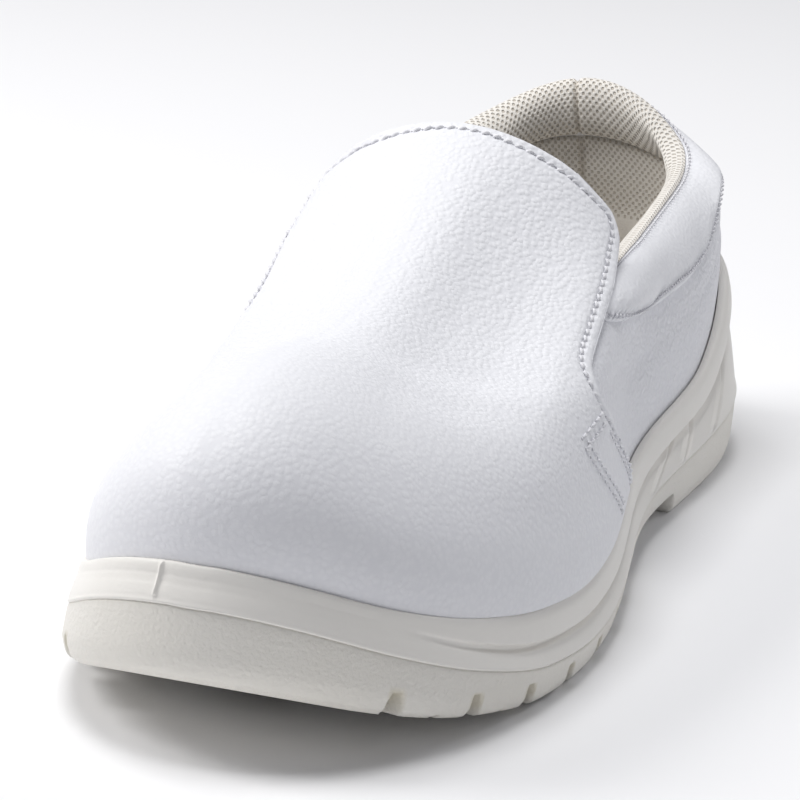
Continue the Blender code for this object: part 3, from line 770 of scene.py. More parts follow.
# Waist: station, height. Plate on it: first and last station, half width.
WAIST = ((0.302, -5.2), (0.318, 6.0), (0.462, 6.0), (0.492, -5.2))
PLATE = (0.338, 0.452, 13.5)
BADGE_LONG = 15.0
BADGE_WIDE = 9.5
BADGE_AT = 0.405
BADGE_SEAT = 7.5
print("tread sizes:", len(FORE_GROOVES), "forefoot grooves a side,", len(HEEL_CUTS), "heel grooves")

# %% [markdown]
# A lug's place is known by its station, but the rim's grid runs by turns. These helpers turn one
# into the other, and the table of all cuts round the rim comes out of them, so that no groove has
# to be set by hand on either side.

# %% Places on the rim
def toe_share(r):
    """0 along the sides, where the midsole has a lip, and 1 on the toe's plain slope."""
    return ramp(sides(r)[0], LIP_FADES, LIP_ENDS)


dense = np.linspace(0, 2, 4001)
dense_arc = np.append(0, np.cumsum(np.hypot(*np.diff(outline_points(dense), axis=0).T)))


def arc(r):
    """Length along the outline from the heel's back."""
    return np.interp(r, dense, dense_arc)


def turn_at(s, side):
    """Turn at which one side of the outline passes a station."""
    way = np.linspace(0, 1, 2001)
    r = way if side > 0 else 2 - way
    return np.interp(s, station(outline_points(r)[:, 1]), r)


def rim_cuts():
    """Rows of groove or sipe on both sides: arc, start, reach, width, depth."""
    rows = []
    for side in (1, -1):
        rows += [(turn_at(s, side), -2.0, RIM_LUG, GROOVE, LUG_DEPTH) for s in FORE_GROOVES]
        rows += [(turn_at(s, side), 2.0, SIPE_LONG, SIPE, SIPE_DEPTH) for s in FORE_SIPES]
    made = np.array(rows)
    made[:, 0] = arc(made[:, 0])
    return made.T[:, :, None, None]


print("rim cuts on the tread:", rim_cuts().shape[1], "round", round(float(dense_arc[-1]), 1), "mm")

# %% [markdown]
# The rim's relief is the deepest of its grooves, the thin arcs that follow the heel's back with two
# spokes across them, and the channel that parts the forefoot lugs from the middle. A Boolean for
# each groove would be slow, while one array holds the depth of every cut at every point.

# %% Relief of the rim
def rim_relief(r, inset):
    """Height above the tread face near the rim. A groove is a ditch square to the outline,
    narrower and shallower inwards, and lies between its start and its reach."""
    at, start, reach, width, depth = rim_cuts()
    off = arc(r) - at
    inwards = inset / RIM_LUG
    mouth = depth + 2.0 * np.clip(1 - 2 * inwards, 0, 1)
    there = ramp(inset, start - 1, start + 1) * (1 - ramp(inset, reach - 1, reach + 1))
    cut = mouth * there * ditch(off, width * (0.6 - 0.2 * inwards), 0.4 * width)
    made = cut.max(0)
    way, _ = sides(r)
    s = station(outline_points(r.ravel())[:, 1]).reshape(r.shape)
    heel = 1 - ramp(way, 0.105, 0.118)
    for line in HEEL_ARCS:
        made = np.maximum(made, HEEL_LINE_DEPTH * heel * ditch(inset - line, *HEEL_LINE))
    for spoke in HEEL_SPOKES:
        line = HEEL_LINE_DEPTH * ditch(arc(r) - arc(spoke), 0.7, 0.7)
        made = np.maximum(made, line * ramp(inset, 2.2, 3.0))
    fore = ramp(s, 0.50, 0.52) * (1 - ramp(s, 0.90, 0.93))
    teeth = np.cos((s - FORE_GROOVES[0]) * 4 * np.pi / FORE_STEP)
    channel = 2.0 * fore * ditch(inset - 17.3 - 0.5 * teeth, 1.25, 1.3)
    return np.maximum(made, channel)


print("rim relief:", len(HEEL_ARCS), "arcs and", len(HEEL_SPOKES), "spokes at the heel")

# %% [markdown]
# The middle of the forefoot has a leaf with slanting slots, and sunk panels with small nubs beside
# it. All are measured along the foot and away from its middle line, so that they keep their size
# where the foot grows wider.

# %% Relief of the forefoot
def forefoot_relief(s, q, edge):
    """Leaf and panels. Slots and panels are stretches of a slanting scale along the foot, and a
    nub is a small dome that fills a panel's floor."""
    leaf = column(LEAF, 1, s)
    beside = np.abs(q) - leaf
    scale = s * LENGTH + PANEL_SLANT * np.abs(q)
    start, end = PANELS.T[:, :, None, None] * LENGTH
    inside = ramp(edge, 0.4, 1.6) * ramp(beside, 1.0, 2.2)
    panel = PANEL_DEPTH * inside * ditch(scale - (start + end) / 2, (end - start) / 2, 1.2).max(0)
    room = np.maximum(beside + edge, 1.0)
    for along, across in NUBS:
        centre = (start + end) / 2 + along * (end - start)
        off = np.hypot(scale - centre, beside - across * room).min(0)
        nub = np.sqrt(np.clip(1 - (off / NUB_RADIUS) ** 2, 0, 1))
        panel = panel - inside * NUB_HIGH * nub * (room > 6)
    slot_off = s * LENGTH + LEAF_SLANT * q - LEAF_SLOTS[:, None, None] * LENGTH
    slots = ditch(slot_off, SLOT_HALF, 1.4).max(0)
    slot = SLOT_DEPTH * slots * ramp(leaf - np.abs(q), 1.4, 2.6) * ramp(s, 0.50, 0.52)
    rim = ditch(beside, 0.6, 0.9) * ramp(s, 0.50, 0.53) * (1 - ramp(s, 0.85, 0.87))
    return np.maximum(np.maximum(panel, slot), rim) * (1 - ramp(s, 0.86, 0.875))


print("forefoot relief:", len(LEAF_SLOTS), "slots and", 2 * len(PANELS), "panels")

# %% [markdown]
# At the heel straight grooves, which are lines on the plan, run in to a loop round a ribbed basin.
# The waist between heel and forefoot clears the floor, so it is a lowest height and not a groove.

# %% Relief of the heel and the waist
def heel_cuts(x, y):
    """Depth of the heel's straight grooves: a ditch about the nearest line."""
    s0, x0, s1, x1 = np.array(HEEL_CUTS).T[:, :, None, None]
    y0 = LENGTH * (0.5 - s0)
    run_x, run_y = x1 - x0, LENGTH * (s0 - s1)
    t = np.clip(((x - x0) * run_x + (y - y0) * run_y) / (run_x**2 + run_y**2), 0, 1)
    away = np.hypot(x - x0 - t * run_x, y - y0 - t * run_y).min(0)
    return HEEL_CUT_DEPTH * ditch(away, 1.7, 1.5)


def heel_relief(x, y):
    """Teardrop basin with ribs across it, a groove that loops round it, the straight grooves
    and the innermost arc. The loop's distance is the sideways one, less where it is steep."""
    s = station(y)
    half = column(HEEL_BASIN, 1, s)
    there = ramp(s, 0.122, 0.128) * (1 - ramp(s, 0.290, 0.298))
    inside = there * ramp(half - np.abs(x), -0.5, 0.7)
    rib = 0.5 + 0.5 * np.cos((s - 0.125) * BASIN_RIBS * 2 * np.pi / 0.17)
    ribs = 1.3 * ramp(rib, 0.55, 0.9) * ramp(half - np.abs(x), 0.9, 2.0)
    basin = PANEL_DEPTH * inside - ribs * inside
    small = 0.001
    loop, next_loop = (column(HEEL_LOOP, 1, s + d) for d in (0, small))
    steep = (next_loop - loop) / (small * LENGTH)
    groove = LOOP_DEPTH * ditch((np.abs(x) - loop) / np.hypot(1, steep), 1.0, 1.2)
    groove = groove * ramp(s, 0.0935, 0.0955) * (1 - ramp(s, 0.29, 0.30))
    groove = np.maximum(groove, heel_cuts(x, y))
    round_heel = HEEL_RADIUS - np.hypot(x, y - (LENGTH / 2 - HEEL_RADIUS))
    behind = 1 - ramp(s, 0.095, 0.115)
    inner_arc = HEEL_LINE_DEPTH * behind * ditch(round_heel - HEEL_ARC_INNER, *HEEL_LINE)
    return np.maximum(np.maximum(basin, groove), inner_arc)


def waist_floor(s, q):
    """Lowest height of the waist, which clears the floor, with a plate a little prouder."""
    rows = np.array(WAIST)
    floor = np.interp(s, rows[:, 0], rows[:, 1], left=-9, right=-9)
    start, end, half = PLATE
    dark_tone_and_hole_shade = 2.5 * (2 * (s - start) / (end - start) - 1) ** 2
    plate = ramp(s, start - 0.002, start + 0.002) * (1 - ramp(s, end - 0.002, end + 0.002))
    return floor - 0.8 * plate * ditch(q, half + dark_tone_and_hole_shade, 0.9)


print("heel relief:", len(HEEL_CUTS), "straight grooves and", BASIN_RIBS, "ribs")

# %% [markdown]
# A badge sits in an oval seat in the waist. Its middle lies half-way between the rims of both
# sides, so it is worked out from the outline and moves with it.

# %% Badge seat
def seat_line(side):
    """Stations and sideways places of the outline set in by a rim lug."""
    turns = np.linspace(0.02, 0.98, 300)
    points, normal = outline(turns if side > 0 else 2 - turns)
    inner = points - normal * RIM_LUG
    order = np.argsort(station(inner[:, 1]))
    return station(inner[order, 1]), inner[order, 0]


def seat_middle():
    """Badge's middle, half-way between the two seat lines."""
    x = 0.5 * (np.interp(BADGE_AT, *seat_line(1)) + np.interp(BADGE_AT, *seat_line(-1)))
    return np.array((x, LENGTH * (0.5 - BADGE_AT)))


def badge_seat(x, y):
    """Oval measure: 1 on the seat's edge, less inside it."""
    middle_x, middle_y = seat_middle()
    return np.hypot((y - middle_y) / (BADGE_LONG + GAP), (x - middle_x) / (BADGE_WIDE + GAP))


print("badge seat at", np.round(seat_middle(), 1).tolist(), "mm")

# %% [markdown]
# The tread's wall goes down from the parting line and turns in over the rim. It is a stack of rings,
# each the outline moved in by its own inset, so that the lugs sit square to the edge.

# %% Rings of the tread
RIM_ROWS = 31
PLAIN_ROWS = 6
TURNS = np.arange(AROUND) * 2 / AROUND


def tread_unit():
    """Rings from the parting line down the wall and in over the rim, and the relief on them. A
    point lies at the highest of its own ring, the relief and the waist's floor."""
    tread = levels(TURNS, TREAD)
    parting = levels(TURNS, PARTING)
    middle = 0.5 * (parting + tread + 4.5)
    # Inset, share of the toe's slope, height.
    wall = (
        (0.5, 1.0, parting + 0.1),
        (0.12, 1.0, parting - 0.05),
        (0.0, 1.0, parting - 0.4),
        (0.05, 0.75, 0.5 * (parting + middle)),
        (0.1, 0.5, middle),
        (0.2, 0.25, 0.5 * (middle + tread + 4.5)),
        (0.3, 0.0, tread + 4.6),
        (0.4, 0.0, tread + 3.8),
        (0.55, 0.0, tread + 3.0),
        (0.75, 0.0, tread + 2.2),
        (1.0, 0.0, tread + 1.4),
        (1.35, 0.0, tread + 0.75),
        (1.8, 0.0, tread + 0.3),
        (2.4, 0.0, tread),
    )
    inset = np.append([row[0] for row in wall], np.linspace(2.9, RIM_INNER, RIM_ROWS))[:, None]
    slope = np.append([row[1] for row in wall], np.zeros(RIM_ROWS))[:, None]
    slope = slope * TOE_SLOPE * toe_share(TURNS)
    row_number = np.arange(len(inset))[:, None]
    points, normal = outline(TURNS)
    flat = points[None] - normal[None] * (inset + slope)[..., None]
    height = np.vstack([row[2] for row in wall] + [tread] * RIM_ROWS)
    face = column(LEVELS, TREAD, station(flat[..., 1]))
    height = height + np.where(row_number >= len(wall), face - tread, 0)
    relief = rim_relief(np.broadcast_to(TURNS, height.shape), inset)
    relief = np.maximum(relief, heel_cuts(flat[..., 0], flat[..., 1]) * ramp(inset, 1.2, 3.2))
    relief = relief * (row_number >= PLAIN_ROWS)
    s = station(flat[..., 1])
    low = np.maximum(height, face + relief)
    low = np.maximum(low, np.minimum(waist_floor(s, np.full_like(s, 99.0)), parting - 0.8))
    rings = np.dstack((flat, low))
    return rings, relief


rim_rings, rim_depth = tread_unit()
print("tread rings:", rim_rings.shape[:2], "deepest cut", round(float(rim_depth.max()), 1), "mm")

# %% [markdown]
# The tread unit is one closed skin: the wall from the parting line down, the rim, the rungs inside
# it and a flat lid on top, which the midsole hides.

# %% Tread unit
RUNGS_ACROSS = 88

rungs, across, span = rung_points(rim_rings[-1, :, :2], RUNGS_ACROSS)
rung_q = (0.5 - across)[None] * span
rung_edge = np.minimum(across, 1 - across)[None] * span
rung_x, rung_y = rungs[..., 0], rungs[..., 1]
rung_s = station(rung_y)
rung_depth = np.maximum(forefoot_relief(rung_s, rung_q, rung_edge), heel_relief(rung_x, rung_y))
rung_z = column(LEVELS, TREAD, rung_s) + rung_depth
rung_z = np.maximum(rung_z, waist_floor(rung_s, rung_q))
rung_z = np.where(badge_seat(rung_x, rung_y) < 1, BADGE_SEAT, rung_z)
put(
    "outsole_tread",
    np.vstack((rim_rings.reshape(-1, 3), np.dstack((rungs, rung_z)).reshape(-1, 3))),
    bed_faces(len(rim_rings), AROUND, rung_z.shape),
    TREAD_FOAM,
    "outsole",
    "outsole",
    sunk=np.clip(np.append(rim_depth, rung_depth) / 3.0, 0, 1),
)

# %% [markdown]
# The midsole is poured round the lasted upper and cups it. Its wall has a bead at the parting line
# and a lip that flares out from the leather. At the toe the lip goes over into a plain slope with a
# rounded rim, and slanting flutes mark the heel.

# %% Midsole sizes
# Flutes: way and share of the wall at the top, then at the foot.
FLUTES = ((0.198, 0.92, 0.250, 0.05), (0.282, 0.94, 0.318, 0.05), (0.322, 0.94, 0.385, 0.04))
FLUTE_HALF = 0.0048
FLUTE_DEPTH = 1.3
FLUTE_RIDGE = 0.6
MOULD_RIB_TURN = 1.0095
MOULD_RIB_HALF = 0.4
MOULD_RIB_HIGH = 0.7
MOULD_RIB_POINTS = 24
MIDSOLE_AROUND = 984
MIDSOLE_ROWS = 72
BEAD_RISE = 0.9
LIP_DROP = 6.8
TOE_LIP_RISE = 4.0
KNEE_SHARE = 0.62


def midsole_wall(r):
    """Heights and insets of the wall from the parting line to the lip's underside, and a share
    that falls from 1 at the heel's back."""
    ledge = levels(r, LEDGE)
    toe = toe_share(r)
    heel = np.clip(1 - sides(r)[0] / 0.5, 0, 1)
    low = levels(r, PARTING) + GAP + BEAD_RISE
    under = levels(r, FEATHER) - LIP_DROP + TOE_LIP_RISE * toe
    belly = (0.16 + 0.14 * heel + 0.12 * toe) * ledge + 0.9 * (1 - toe)
    neck = (0.29 + 0.31 * heel + 0.05 * toe) * ledge + 1.3 * (1 - toe)
    return low, low + KNEE_SHARE * (under - low), under, belly, neck, heel


def flute_depth(way, share):
    """Inward depth of the flutes: a bell across a slanting line for the groove, less a second
    bell on its toe side for the ridge, both fading at the ends."""
    made = np.zeros_like(share)
    for r_top, top, r_foot, foot in FLUTES:
        t = (top - share) / (top - foot)
        off = (way - r_top - (r_foot - r_top) * t) / FLUTE_HALF
        bells = FLUTE_DEPTH * np.exp(-off * off) - FLUTE_RIDGE * np.exp(-(((off - 2.0) / 1.3) ** 2))
        ends = ramp(share, foot - 0.08, foot + 0.10) * (1 - ramp(share, top - 0.10, top + 0.06))
        made = made + bells * ends
    return made


print("midsole flutes a side:", len(FLUTES))

# %% [markdown]
# A fair curve through the rings of a profile makes the wall, which is quicker to change than a mesh
# pulled by hand. The flutes are pressed into it. A thin rib at the toe is where the two halves of
# the mould meet, and extra points follow it closely.

# %% Midsole
even = MIDSOLE_AROUND - MOULD_RIB_POINTS
r = np.arange(even) * 2 / even
r = np.sort(np.append(r, MOULD_RIB_TURN + np.linspace(-0.0045, 0.0045, MOULD_RIB_POINTS)))
way, _ = sides(r)
feather = levels(r, FEATHER)
ledge = levels(r, LEDGE)
low, knee, under, belly, neck, heel = midsole_wall(r)
toe = toe_share(r)
slope = TOE_SLOPE * toe
# Inset and height of each ring.
profile = (
    (0.7 + slope, low - 1.5),
    (0.12 + slope, low - 1.0),
    (slope - 0.2, low - 0.6),
    (slope + 0.05, low - 0.1),
    (0.35 * belly + 0.65 * slope, low + 0.35 * (knee - low)),
    (belly, knee),
    (neck, under - 0.5),
    (neck + (0.05 * toe - 0.02) * ledge, under + 0.1),
    ((0.25 + 0.31 * heel + 0.16 * toe) * ledge, under + 0.8),
    ((0.40 + 0.28 * heel + 0.03 * toe) * ledge, feather - 2.2 + 0.9 * toe),
    ((0.54 + 0.24 * heel - 0.07 * toe) * ledge, feather - 0.8 + 0.5 * toe),
    ((0.70 + 0.18 * heel - 0.15 * toe) * ledge, feather - 0.1 + 0.5 * toe),
    ((0.86 + 0.08 * heel - 0.20 * toe) * ledge, feather - 0.15 + 0.5 * toe),
    (ledge, feather - 0.3),
)
insets = np.stack([row[0] for row in profile])
heights = np.stack([row[1] for row in profile])
steps = np.hypot(np.diff(insets, axis=0), np.diff(heights, axis=0)).mean(1)
reach = np.append(0, np.cumsum(steps))
fine = np.linspace(0, reach[-1], MIDSOLE_ROWS)
fair_inset = smooth_through(reach, insets, fine)
fair_height = smooth_through(reach, heights, fine)
share = (fair_height - low) / (under - low)
fair_inset = fair_inset + flute_depth(np.broadcast_to(way, share.shape), share)
rib_off = (arc(r) - arc(MOULD_RIB_TURN)) / MOULD_RIB_HALF
rib_rows = ramp(fair_height, low + 0.2, low + 1.0)
rib_rows = rib_rows * (1 - ramp(fair_height, feather + 0.2, feather + 0.5))
fair_inset = fair_inset - MOULD_RIB_HIGH * np.exp(-rib_off * rib_off) * rib_rows
points, normal = outline(r)
wall_grid = np.dstack((points[None] - normal[None] * fair_inset[..., None], fair_height))
shelf = sole_ring(r, ledge, levels(r, SHELF))[None]
rings = np.concatenate((wall_grid, shelf))
rows = len(rings)
index = numbered(rows, MIDSOLE_AROUND)
lid = rung_index(0, MIDSOLE_AROUND)
shelf_lid = grid_faces(lid + (rows - 1) * MIDSOLE_AROUND)[:, ::-1]
quads = np.vstack((grid_faces(index, close_columns=True), grid_faces(lid), shelf_lid))
put("midsole_wall", rings, quads, MIDSOLE_FOAM, "midsole", "midsole")

# %% [markdown]
# The upper is one hollow shell: it starts on the shelf of the midsole, rises to the seam of the
# padded collar, and goes on under the vamp to the front of the throat. The seam and the vamp's edge
# are short tables on the last, a way round it and a way up it, and a few shallow creases keep the
# quarter from looking stiff.

# %% Seam lines of the upper
WALL = 2.0
SHELL_FRONT = 0.995
SEAM_TUCK = 0.02
# Collar's seam and vamp's edge: way round a side, way up.
COLLAR_SEAM = (
    (0.00, 0.58),
    (0.12, 0.57),
    (0.20, 0.555),
    (0.25, 0.52),
    (0.30, 0.49),
    (0.36, 0.483),
    (0.42, 0.508),
    (0.48, 0.548),
    (0.55, 0.602),
    (0.66, 0.70),
    (0.74, 0.90),
)
VAMP_EDGE = (
    (0.446, 0.0),
    (0.545, 0.29),
    (0.618, 0.42),
    (0.650, 0.54),
    (0.645, 0.67),
    (0.641, 0.79),
    (0.641, 0.91),
    (0.680, 1.00),
    (0.780, 1.025),
)
# Creases pressed into the quarter: way, way up, half length, half width, lean, depth.
QUARTER_CREASES = (
    (0.50, 0.36, 0.060, 0.045, 0.5, 0.55),
    (0.40, 0.30, 0.070, 0.050, -0.3, 0.35),
    (0.24, 0.34, 0.080, 0.060, 0.2, 0.35),
    (0.12, 0.26, 0.060, 0.050, 0.0, -0.30),
)


def upper_end(r):
    """Way up at which the shell stops: at the collar's seam, then just under the flap."""
    way, _ = sides(r)
    seam = column(COLLAR_SEAM, 1, way, True)
    return np.where(way < 0.74, seam, np.minimum(SHELL_FRONT, seam + (way - 0.74) * 1.4))


def creases(table, way, up):
    """Sum of soft dents: each is its depth times a bell of the distances along and across it."""
    at, high, long, wide, lean, depth = np.array(table).T[:, :, None, None]
    along = (way - at) + lean * (up - high) * 0.3
    across = (up - high) - lean * (way - at) * 0.3
    return (depth * np.exp(-((along / long) ** 2) - (across / wide) ** 2)).sum(0)


print("marks on the collar's seam:", len(COLLAR_SEAM), "and on the flap's edge:", len(VAMP_EDGE))

# %% [markdown]
# The shell is a ring whose section is a thin wall, up outside and down inside. A Solidify modifier
# would also do it, but here both walls have to stand on the midsole's shelf. A soft trough follows
# the collar's seam, where the stitches draw the leather in.

# %% Upper shell
UPPER_AROUND = 480
UPPER_ROWS = 52
INNER_ROWS = 14
SEAM_PINCH = 0.3

r = np.arange(UPPER_AROUND)[None] * 2 / UPPER_AROUND
share = np.linspace(0, 1, UPPER_ROWS)[:, None] ** 1.1
way, _ = sides(r)
top = upper_end(r) + SEAM_TUCK * (1 - ramp(way, 0.68, 0.74))
up = top * share
dents = creases(QUARTER_CREASES, np.broadcast_to(way, up.shape), up)
pinch = SEAM_PINCH * np.exp(-(((1 - share) * top / 0.045) ** 2)) * (way < 0.72)
outer = skin(np.broadcast_to(r, up.shape), up, -dents - pinch)
inner_up = top * np.linspace(1, 0, INNER_ROWS)[:, None]
inner_wall = skin(np.broadcast_to(r, inner_up.shape), inner_up, -WALL)
base = levels(r.ravel(), SHELF) + GAP
ledge = levels(r.ravel(), LEDGE) + GAP
start = sole_ring(r.ravel(), ledge, base)[None]
finish_ring = sole_ring(r.ravel(), ledge + WALL, base)[None]
rings = np.concatenate((start, outer, inner_wall, finish_ring))
put("upper_quarter", rings, ring_faces(rings), QUARTER_HIDE, "upper", "upper")

# %% [markdown]
# The vamp and the tongue flap are cut as one sheet and lie over the shell. Its edge runs from the
# sole up the side, swings back at the instep and rounds the top of the flap. The grid runs from
# edge to edge, so that its outermost columns are the cut edge itself and nothing has to be trimmed.

# %% Sizes of the vamp
VAMP_SHEET = 1.8
VAMP_EASE = 0.7
FLAP_CROWN = 1.025
EDGE_ROUND = 1.5
STITCH_INSET = 3.1
STITCH_GROOVE = 0.50
DENT_LIMIT = 0.6
# Way round a side, how far the collar stands out.
COLLAR_BULGE = (
    (0.00, 2.4),
    (0.16, 2.4),
    (0.30, 3.8),
    (0.45, 4.2),
    (0.60, 2.2),
    (0.68, 1.0),
    (0.74, 0.5),
)
# Creases on the vamp, and swellings of negative depth: turn, way up, half length, half width, lean,
# depth. The last row fills out the toe just above the sole.
VAMP_CREASES = (
    (1.00, 0.47, 0.26, 0.050, 0.0, 0.70),
    (0.80, 0.36, 0.09, 0.045, 0.9, 0.45),
    (1.20, 0.36, 0.09, 0.045, -0.9, 0.45),
    (0.70, 0.20, 0.05, 0.060, 0.6, -0.45),
    (1.30, 0.20, 0.05, 0.060, -0.6, -0.45),
    (0.86, 0.14, 0.05, 0.070, 0.2, 0.35),
    (1.00, 0.075, 0.24, 0.060, 0.0, -1.40),
)
VAMP_ROWS = 150
VAMP_COLUMNS = 221


def vamp_grid(b, a):
    """Turn, way up and clearance of the sheet: columns run between its two edges, and each row's
    height bends from the middle line to the edge by the square of the way across."""
    edge = np.array(VAMP_EDGE)
    reach = lengths(edge)
    reach /= reach[-1]
    edge_way = smooth_through(reach, edge[:, 0], b)
    edge_up = smooth_through(reach, edge[:, 1], b)
    across = np.abs(a)
    way = 1 - (1 - edge_way) * across
    up = FLAP_CROWN * b * (1 - across**2) + edge_up * across**2
    roll = column(COLLAR_BULGE, 1, way, True) * np.clip((up - 0.60) / 0.16, 0, 1)
    roll = roll * np.clip((0.84 - way) / 0.10, 0, 1)
    inside = np.clip((1 - across) / 0.2, 0, 1)
    lift = GAP + VAMP_EASE * (0.5 + 0.5 * inside) + roll
    return np.where(a >= 0, way, 2 - way), up, lift


def nearest(points, path):
    """Distance from each point to the nearest point of a path, and that point's number."""
    flat = points.reshape(-1, 3)
    square = (flat**2).sum(1)[:, None] + (path**2).sum(1)[None] - 2 * flat @ path.T
    number = square.argmin(1)
    away = np.sqrt(np.maximum(square[np.arange(len(flat)), number], 0))
    return away.reshape(points.shape[:-1]), number.reshape(points.shape[:-1])


def round_edge(grid):
    """The sheet's free edge as one path: up the lateral side, over the crown, down the medial."""
    return np.concatenate((grid[:-1, -1], grid[-1, ::-1], grid[-2::-1, 0]))


print("vamp grid:", VAMP_ROWS, "rows of", VAMP_COLUMNS, "points")

# %% [markdown]
# The sheet has a face and a back, joined by a hem along its whole edge. A groove about three
# millimetres inside the free edge carries the stitches, and the distance to that edge also rounds
# the cut off.

# %% Vamp and flap
b = np.linspace(0, 1, VAMP_ROWS)[:, None] ** 1.1
a = np.sin(np.linspace(-1, 1, VAMP_COLUMNS) * np.pi / 2 * 0.86)[None] / np.sin(np.pi / 2 * 0.86)
b, a = np.broadcast_arrays(b, a)
turns, up, lift = vamp_grid(b, a)
up_on_vamp = up
middle = skin(turns, up, lift + VAMP_SHEET / 2)
edge_path = round_edge(middle)
away, _ = nearest(middle, edge_path)
fall = np.sqrt(np.clip(1 - (1 - np.clip(away / EDGE_ROUND, 0, 1)) ** 2, 0, 1))
groove = STITCH_GROOVE * ditch(away - STITCH_INSET, 0.60, 1.2)
dents = creases(VAMP_CREASES, turns, up) * ramp(away, 3.0, 14.0)
vamp_normals = last_normal(turns, up).reshape(*turns.shape, 3)
face_lift = lift + VAMP_SHEET * (0.35 + 0.65 * fall) - groove - np.minimum(dents, DENT_LIMIT)
vamp_face = skin(turns, up, face_lift)
vamp_back = skin(turns, up, lift + 0.15 * VAMP_SHEET * (1 - fall))
floor = levels(turns.ravel(), FEATHER).reshape(turns.shape) + 0.12
vamp_face[..., 2] = np.maximum(vamp_face[..., 2], floor)
vamp_back[..., 2] = np.maximum(vamp_back[..., 2], floor)
size = turns.size
index = numbered(*turns.shape)
loop = np.concatenate((index[0], index[1:, -1], index[-1, -2::-1], index[-2:0:-1, 0]))
hem = grid_faces(np.stack((loop, loop + size)), close_columns=True)
quads = np.vstack((grid_faces(index), grid_faces(index + size)[:, ::-1], hem[:, ::-1]))
put("vamp_flap", np.stack((vamp_face, vamp_back)), quads, VAMP_HIDE, "vamp", "vamp")

# %% [markdown]
# The collar is a foam roll sewn into leather, from ear to ear round the back. Its section is a
# plump oval between the seam and the throat, carried round the opening. A simulation would soften
# it, but a roll this narrow is held tight by its seam, so small puckers are placed by formula.

# %% Sizes of the collar
COLLAR_END = 0.70
COLLAR_CLOSE = 0.012
COLLAR_THICK = 8.0
COLLAR_BELLY = 1.3
LINING_THICK = 0.9
SEAM_PITCH = 1.8
SEAM_PULL = 0.55
COLLAR_ALONG = 1300
COLLAR_ROUND = 48
# Slow waves of the slack leather: height, length over two pi, shift.
SLACK_WAVES = ((0.12, 2.9, 0.0), (0.14, 4.7, 1.0))
# Way round a side, way up to the roll's top.
COLLAR_TOP = (
    (0.00, 1.00),
    (0.25, 1.00),
    (0.40, 0.965),
    (0.50, 0.915),
    (0.60, 0.855),
    (0.66, 0.835),
    (0.74, 0.93),
)


def collar_frame(turns):
    """Foot, rise, outward direction, height, thickness and bulge of the roll at each turn."""
    way = np.abs(turns)
    seam = upper_end(turns)
    foot = last(turns, seam)
    rise = last(turns, column(COLLAR_TOP, 1, way, True)) - foot
    normal = last_normal(turns, seam)
    tall = np.linalg.norm(rise, axis=1)
    rise = rise / tall[:, None]
    tall = tall - GAP
    taper = 1 - 0.70 * ramp(way, 0.48, COLLAR_END)
    bulge = column(COLLAR_BULGE, 1, way, True)
    return foot, rise, normal, tall, COLLAR_THICK * taper, bulge


def seam_angle(way):
    """Degrees round the roll to the row that draws it in: lower near the flap."""
    return 132 + 18 * ramp(way, 0.38, 0.54)


def collar_skin(turns, phi, out):
    """Roll's surface: an oval with power 0.85 of the cosine of phi, which is 0 at the top and
    grows outwards, its outer side filled by the sine's square, then moved out along its normal."""
    foot, rise, normal, tall, thick, bulge = (x[:, None] for x in collar_frame(turns))
    cos, sin = np.cos(phi), np.sin(phi)
    high = np.sign(cos) * np.abs(cos) ** 0.85 * tall / 2
    wide = sin * thick / 2 + COLLAR_BELLY * thick / COLLAR_THICK * np.clip(sin, 0, 1) ** 2
    slope = np.hypot(cos / tall, sin / thick)
    high = high + out * cos / tall / slope + GAP + tall / 2
    wide = wide + out * sin / thick / slope + bulge - thick / 2
    return foot + rise * high[..., None] + normal * wide[..., None]


print("collar roll:", COLLAR_THICK, "mm thick,", len(COLLAR_TOP), "marks along its top")

# %% [markdown]
# Under the mesh the leather is set in by the mesh's thickness. The row of stitches below draws the
# roll in at every stitch, and the leather above the row stays a little slack, in two slow waves.

# %% Padded collar
turns = np.linspace(-COLLAR_END, COLLAR_END, COLLAR_ALONG)
phi = np.linspace(0, 2 * np.pi, COLLAR_ROUND, endpoint=False)
reach = lengths(last(turns, upper_end(turns)))
slack = sum(high * np.sin(reach / wave + shift) for high, wave, shift in SLACK_WAVES)
slack = slack[:, None] * np.exp(-(((phi - 2.05) / 0.40) ** 2))[None]
drawn = 0.5 + 0.5 * np.cos(2 * np.pi * reach / SEAM_PITCH)
drawn_at = np.radians(seam_angle(np.abs(turns)))[:, None]
drawn = -SEAM_PULL * drawn[:, None] * np.exp(-(((phi - drawn_at) / 0.20) ** 2))
pucker = slack + drawn
covered = np.exp(-((np.minimum(phi, np.abs(phi - 2 * np.pi)) / 0.9) ** 2))[None]
inner_side = ramp(phi, np.pi * 1.05, np.pi * 1.25)[None]
shrink = -LINING_THICK * np.maximum(covered, inner_side)
tube = collar_skin(turns, np.broadcast_to(phi, (COLLAR_ALONG, COLLAR_ROUND)), pucker + shrink)
ends = np.clip((COLLAR_END - np.abs(turns)) / COLLAR_CLOSE, 0, 1)
tube = drawn_in(tube, np.sqrt(1 - (1 - ends) ** 2))
collar = put("collar_roll", tube, tube_faces(tube), COLLAR_HIDE, "collar", "collar")

# %% [markdown]
# The spacer mesh covers the top of the roll and its inner side, down to a seam. Its holes lie in
# staggered rows, so a hole is wherever two sine waves, one along the opening and one round the
# roll, are both up or both down. Lengths in millimetres keep the holes the same size all round.

# %% Mesh over the collar
HOLE_DEPTH = 0.35
MESH_PROUD = 0.95
MESH_CLOSE = 0.008
BACK_SEAM = -0.02
BACK_SEAM_HALF = 0.6
BACK_SEAM_DEPTH = 0.9
MESH_ALONG = 1000
MESH_ROUND = 80
# Row of a grid that its holes are counted along.
RULER = 20

